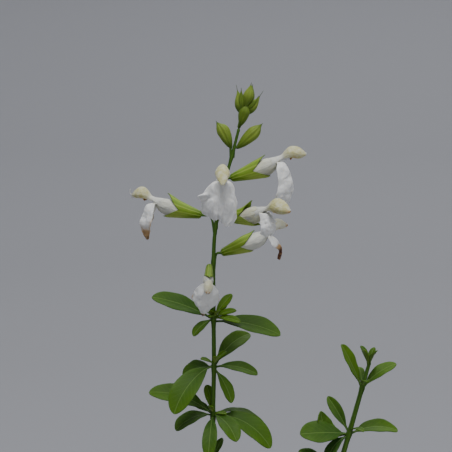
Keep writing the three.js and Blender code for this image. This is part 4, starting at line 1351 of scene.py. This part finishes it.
for bud_name, bud_row in SIDE_BUDS.items():
    bud_mesh = new_skin()
    add_bud(bud_mesh, bud_row, SIDE_PROFILE)
    bud_end = flower_matrix(bud_row) @ Vector((0.9, 0, 0))
    add_stalk(bud_mesh, Vector(bud_row["stalk"]), bud_end, BUD_STALK_RADIUS, 1)
    new_piece(f"side_bud_{bud_name}", bud_mesh, [bud_skin, stem_skin],
              [f"bud_{bud_name}"])

cluster = new_skin()
for bud_row in TIP_BUDS:
    add_bud(cluster, bud_row, YOUNG_PROFILE)
cluster_foot = Vector(TALL_TIP) - Vector((0.3, 0, 0.8))
rod(cluster, [cluster_foot, Vector((10.6, 0, 338)), Vector((11.6, 0.3, 342))], 10, 12,
    closed(lambda u: 0.6 + 0.3 * u))
new_piece("tip_buds", cluster, [bud_skin], ["bud_cluster"])
print("buds made:", len(SIDE_BUDS) + len(TIP_BUDS))

# %% [markdown]
# ## Pot
# A clay pot is thrown or pressed on a wheel, so it is one profile spun round an axis.
# Spin turns the profile's edges through a full circle, and three short cylinders then cut
# the drain holes in its floor with a Boolean modifier, which is applied at once.

# %% Pot
POT_STEPS = 128
DRAIN_RADIUS, DRAIN_CIRCLE, DRAIN_HOLES = 6.5, 22, 3
FLOOR_THICKNESS = 6
# radius and height, from the middle of the base, up the outside and down the inside
POT_PROFILE = [
    (0, 0.6), (36, 0.6), (38, 0), (39.6, 0), (40.6, 0.4), (41, 1.4), (47, 36), (53, 70.4),
    (55.6, 86), (56.2, 87.8), (58.4, 88.3), (60, 88.6), (60.6, 89.4), (61.1, 94), (61.8, 104),
    (62, 108), (61.6, 109.4), (60.6, 110), (57.6, 110), (56.4, 109.5), (56, 108.4),
    (54.6, 100), (50, 75), (43, 38), (37.3, 7.6), (36.6, 6.4), (35.4, 6), (0, 6),
]


def spun(profile, steps):
    bm = bmesh.new()
    verts = [bm.verts.new(Vector((radius, 0, height)) * MM) for radius, height in profile]
    edges = [bm.edges.new(pair) for pair in zip(verts, verts[1:])]
    bmesh.ops.spin(bm, geom=verts + edges, axis=(0, 0, 1), cent=(0, 0, 0), angle=math.tau,
                   steps=steps, use_merge=True)
    bmesh.ops.remove_doubles(bm, verts=bm.verts, dist=WELD)
    bmesh.ops.recalc_face_normals(bm, faces=bm.faces)
    for face in bm.faces:
        face.smooth = True
    return bm


pot = new_piece("clay_pot", spun(POT_PROFILE, POT_STEPS), [clay], ["pot"])
drills = bmesh.new()
for hole in range(DRAIN_HOLES):
    turn = math.pi / 2 + math.tau * hole / DRAIN_HOLES
    spot = Vector((DRAIN_CIRCLE * math.cos(turn), DRAIN_CIRCLE * math.sin(turn),
                   FLOOR_THICKNESS / 2)) * MM
    bmesh.ops.create_cone(drills, cap_ends=True, segments=40, radius1=DRAIN_RADIUS * MM,
                          radius2=DRAIN_RADIUS * MM, depth=3 * FLOOR_THICKNESS * MM,
                          matrix=Matrix.Translation(spot))
drill_mesh = bpy.data.meshes.new("drill")
drills.to_mesh(drill_mesh)
drills.free()
drill = put_in_scene("drill", drill_mesh)
cut = pot.modifiers.new("drain_holes", "BOOLEAN")
cut.object = drill
cut.solver = "EXACT"
cut_mesh = bpy.data.meshes.new_from_object(pot.evaluated_get(bpy.context.evaluated_depsgraph_get()))
pot.modifiers.clear()
pot.data = cut_mesh
bpy.data.objects.remove(drill)
even_shading(pot)
print("pot faces:", len(pot.data.polygons))

# %% [markdown]
# ## Soil
# The soil is one spun body under a crumbly top. Its top is a disc, so the profile has
# many rings there, which noise lifts into clods. Loose crumbs of peat and bark and a few
# perlite beads lie on it: small lumpy icospheres, squashed and turned at random.

# %% Soil
SOIL_TOP_RADIUS = 53.4
SOIL_FOOT = 6.3
SOIL_RINGS, SOIL_STEPS = 44, 150
SOIL_TONE = 0.12
SWELL_HEIGHT, CLOD_HEIGHT, CLOD_SIZE = 1.1, 0.9, 4.2
CRUMBS = 900
PERLITE_BEADS = 46


def soil_height(x, y):
    swell = math.sin(0.11 * x + 1) * math.cos(0.09 * y)
    clods = math.sin(0.31 * x) * math.sin(0.27 * y + 0.6)
    return SOIL_LEVEL + SWELL_HEIGHT * (swell + 0.5 * clods)


def soil_rough(x, y):
    clods = noise.fractal(Vector((x, y, 0)) / CLOD_SIZE, 0.6, 2.1, 4)
    return soil_height(x, y) + CLOD_HEIGHT * clods


def add_crumb(bm, dice, bead):
    """A lumpy bead of perlite, or crumb of peat, somewhere on the soil."""
    reach = SOIL_TOP_RADIUS * 0.985 * math.sqrt(dice.random())
    turn = math.tau * dice.random()
    x, y = reach * math.cos(turn), reach * math.sin(turn)
    size = 0.7 + 0.5 * dice.random() if bead else 0.5 + 1.5 * dice.random() ** 2.5
    squash = Matrix.Diagonal((1, 0.6 + 0.4 * dice.random(), 0.45 + 0.4 * dice.random(), 1))
    turned = Matrix.Rotation(math.tau * dice.random(), 4, "Z") @ Matrix.Rotation(
        0.6 * dice.random(), 4, "X")
    place = Matrix.Translation(Vector((x, y, soil_rough(x, y) + 0.25 * size)) * MM)
    made = bmesh.ops.create_icosphere(bm, subdivisions=1, radius=size * MM,
                                      matrix=place @ turned @ squash)["verts"]
    tone = dice.random() ** 2
    for vert in made:
        vert.co += 0.25 * size * MM * noise.noise_vector(vert.co / MM)
        vert[bm.verts.layers.float["tone"]] = tone
        for face in vert.link_faces:
            face.smooth = True
            face.material_index = 1 if bead else 0


soil_top = [(SOIL_TOP_RADIUS * (1 - i / SOIL_RINGS), SOIL_LEVEL) for i in range(SOIL_RINGS + 1)]
soil_profile = [(0, SOIL_FOOT), (35.2, SOIL_FOOT), (36.9, 7.9), *soil_top]
soil_mesh = spun(soil_profile, SOIL_STEPS)
soil_tone = soil_mesh.verts.layers.float.new("tone")
for vert in soil_mesh.verts:
    vert[soil_tone] = SOIL_TONE
    if vert.co.z > (SOIL_LEVEL - 1) * MM:
        vert.co.z = soil_rough(vert.co.x / MM, vert.co.y / MM) * MM
soil_dice = random.Random(4)
for crumb_number in range(CRUMBS + PERLITE_BEADS):
    add_crumb(soil_mesh, soil_dice, crumb_number >= CRUMBS)
new_piece("potting_soil", soil_mesh, [soil_skin, perlite], ["soil"])
print("crumbs on the soil:", CRUMBS, "beads:", PERLITE_BEADS)

# %% [markdown]
# ## Floor and light
# The plant stands on a plain pale floor that curves up into a wall all round, so no
# corner or horizon shows. It is spun like the pot, but its faces look inwards. Large soft
# lights keep the shadows pale, as under a cloudy sky: a strong one high up in front, a
# weak one at the front right and one behind.

# %% Floor and light
# radius and height of the floor and wall
FLOOR_PROFILE = [(0, 0), (900, 0), (1400, 50), (1900, 250), (2300, 700), (2500, 1400),
                 (2550, 2400)]
# place and size in metres, and power in watts
LIGHTS = {
    "key": ((-0.08, -0.85, 2.75), 1.2, 67),
    "fill": ((1.5, -1.5, 1), 1.4, 8),
    "rim": ((0.4, 1.7, 1.9), 1.4, 14),
}
LIGHT_AIM = Vector((0, 0, 0.25))
SKY_COLOUR, SKY_STRENGTH = "#d9dde4", 0.34
dish = spun(FLOOR_PROFILE, 96)
bmesh.ops.reverse_faces(dish, faces=dish.faces)
floor_mesh = bpy.data.meshes.new("floor")
dish.to_mesh(floor_mesh)
dish.free()
floor_mesh.materials.append(new_material("matt_pale_paint", {
    "Base Color": linear("#939499"), "Roughness": 0.9, "Specular IOR Level": 0.2})[0])
put_in_scene("floor", floor_mesh)


def add_light(name, place, size, power):
    data = bpy.data.lights.new(name, "AREA")
    data.size = size
    data.energy = power
    light = put_in_scene(name, data)
    light.location = place
    light.rotation_euler = (LIGHT_AIM - Vector(place)).to_track_quat("-Z", "Y").to_euler()


for light_name, light_row in LIGHTS.items():
    add_light(light_name, *light_row)
world = bpy.data.worlds.new("soft_sky")
bpy.context.scene.world = world
world.use_nodes = True
sky = world.node_tree.nodes["Background"]
sky.inputs["Color"].default_value = linear(SKY_COLOUR)
sky.inputs["Strength"].default_value = SKY_STRENGTH
print("lights:", list(LIGHTS))
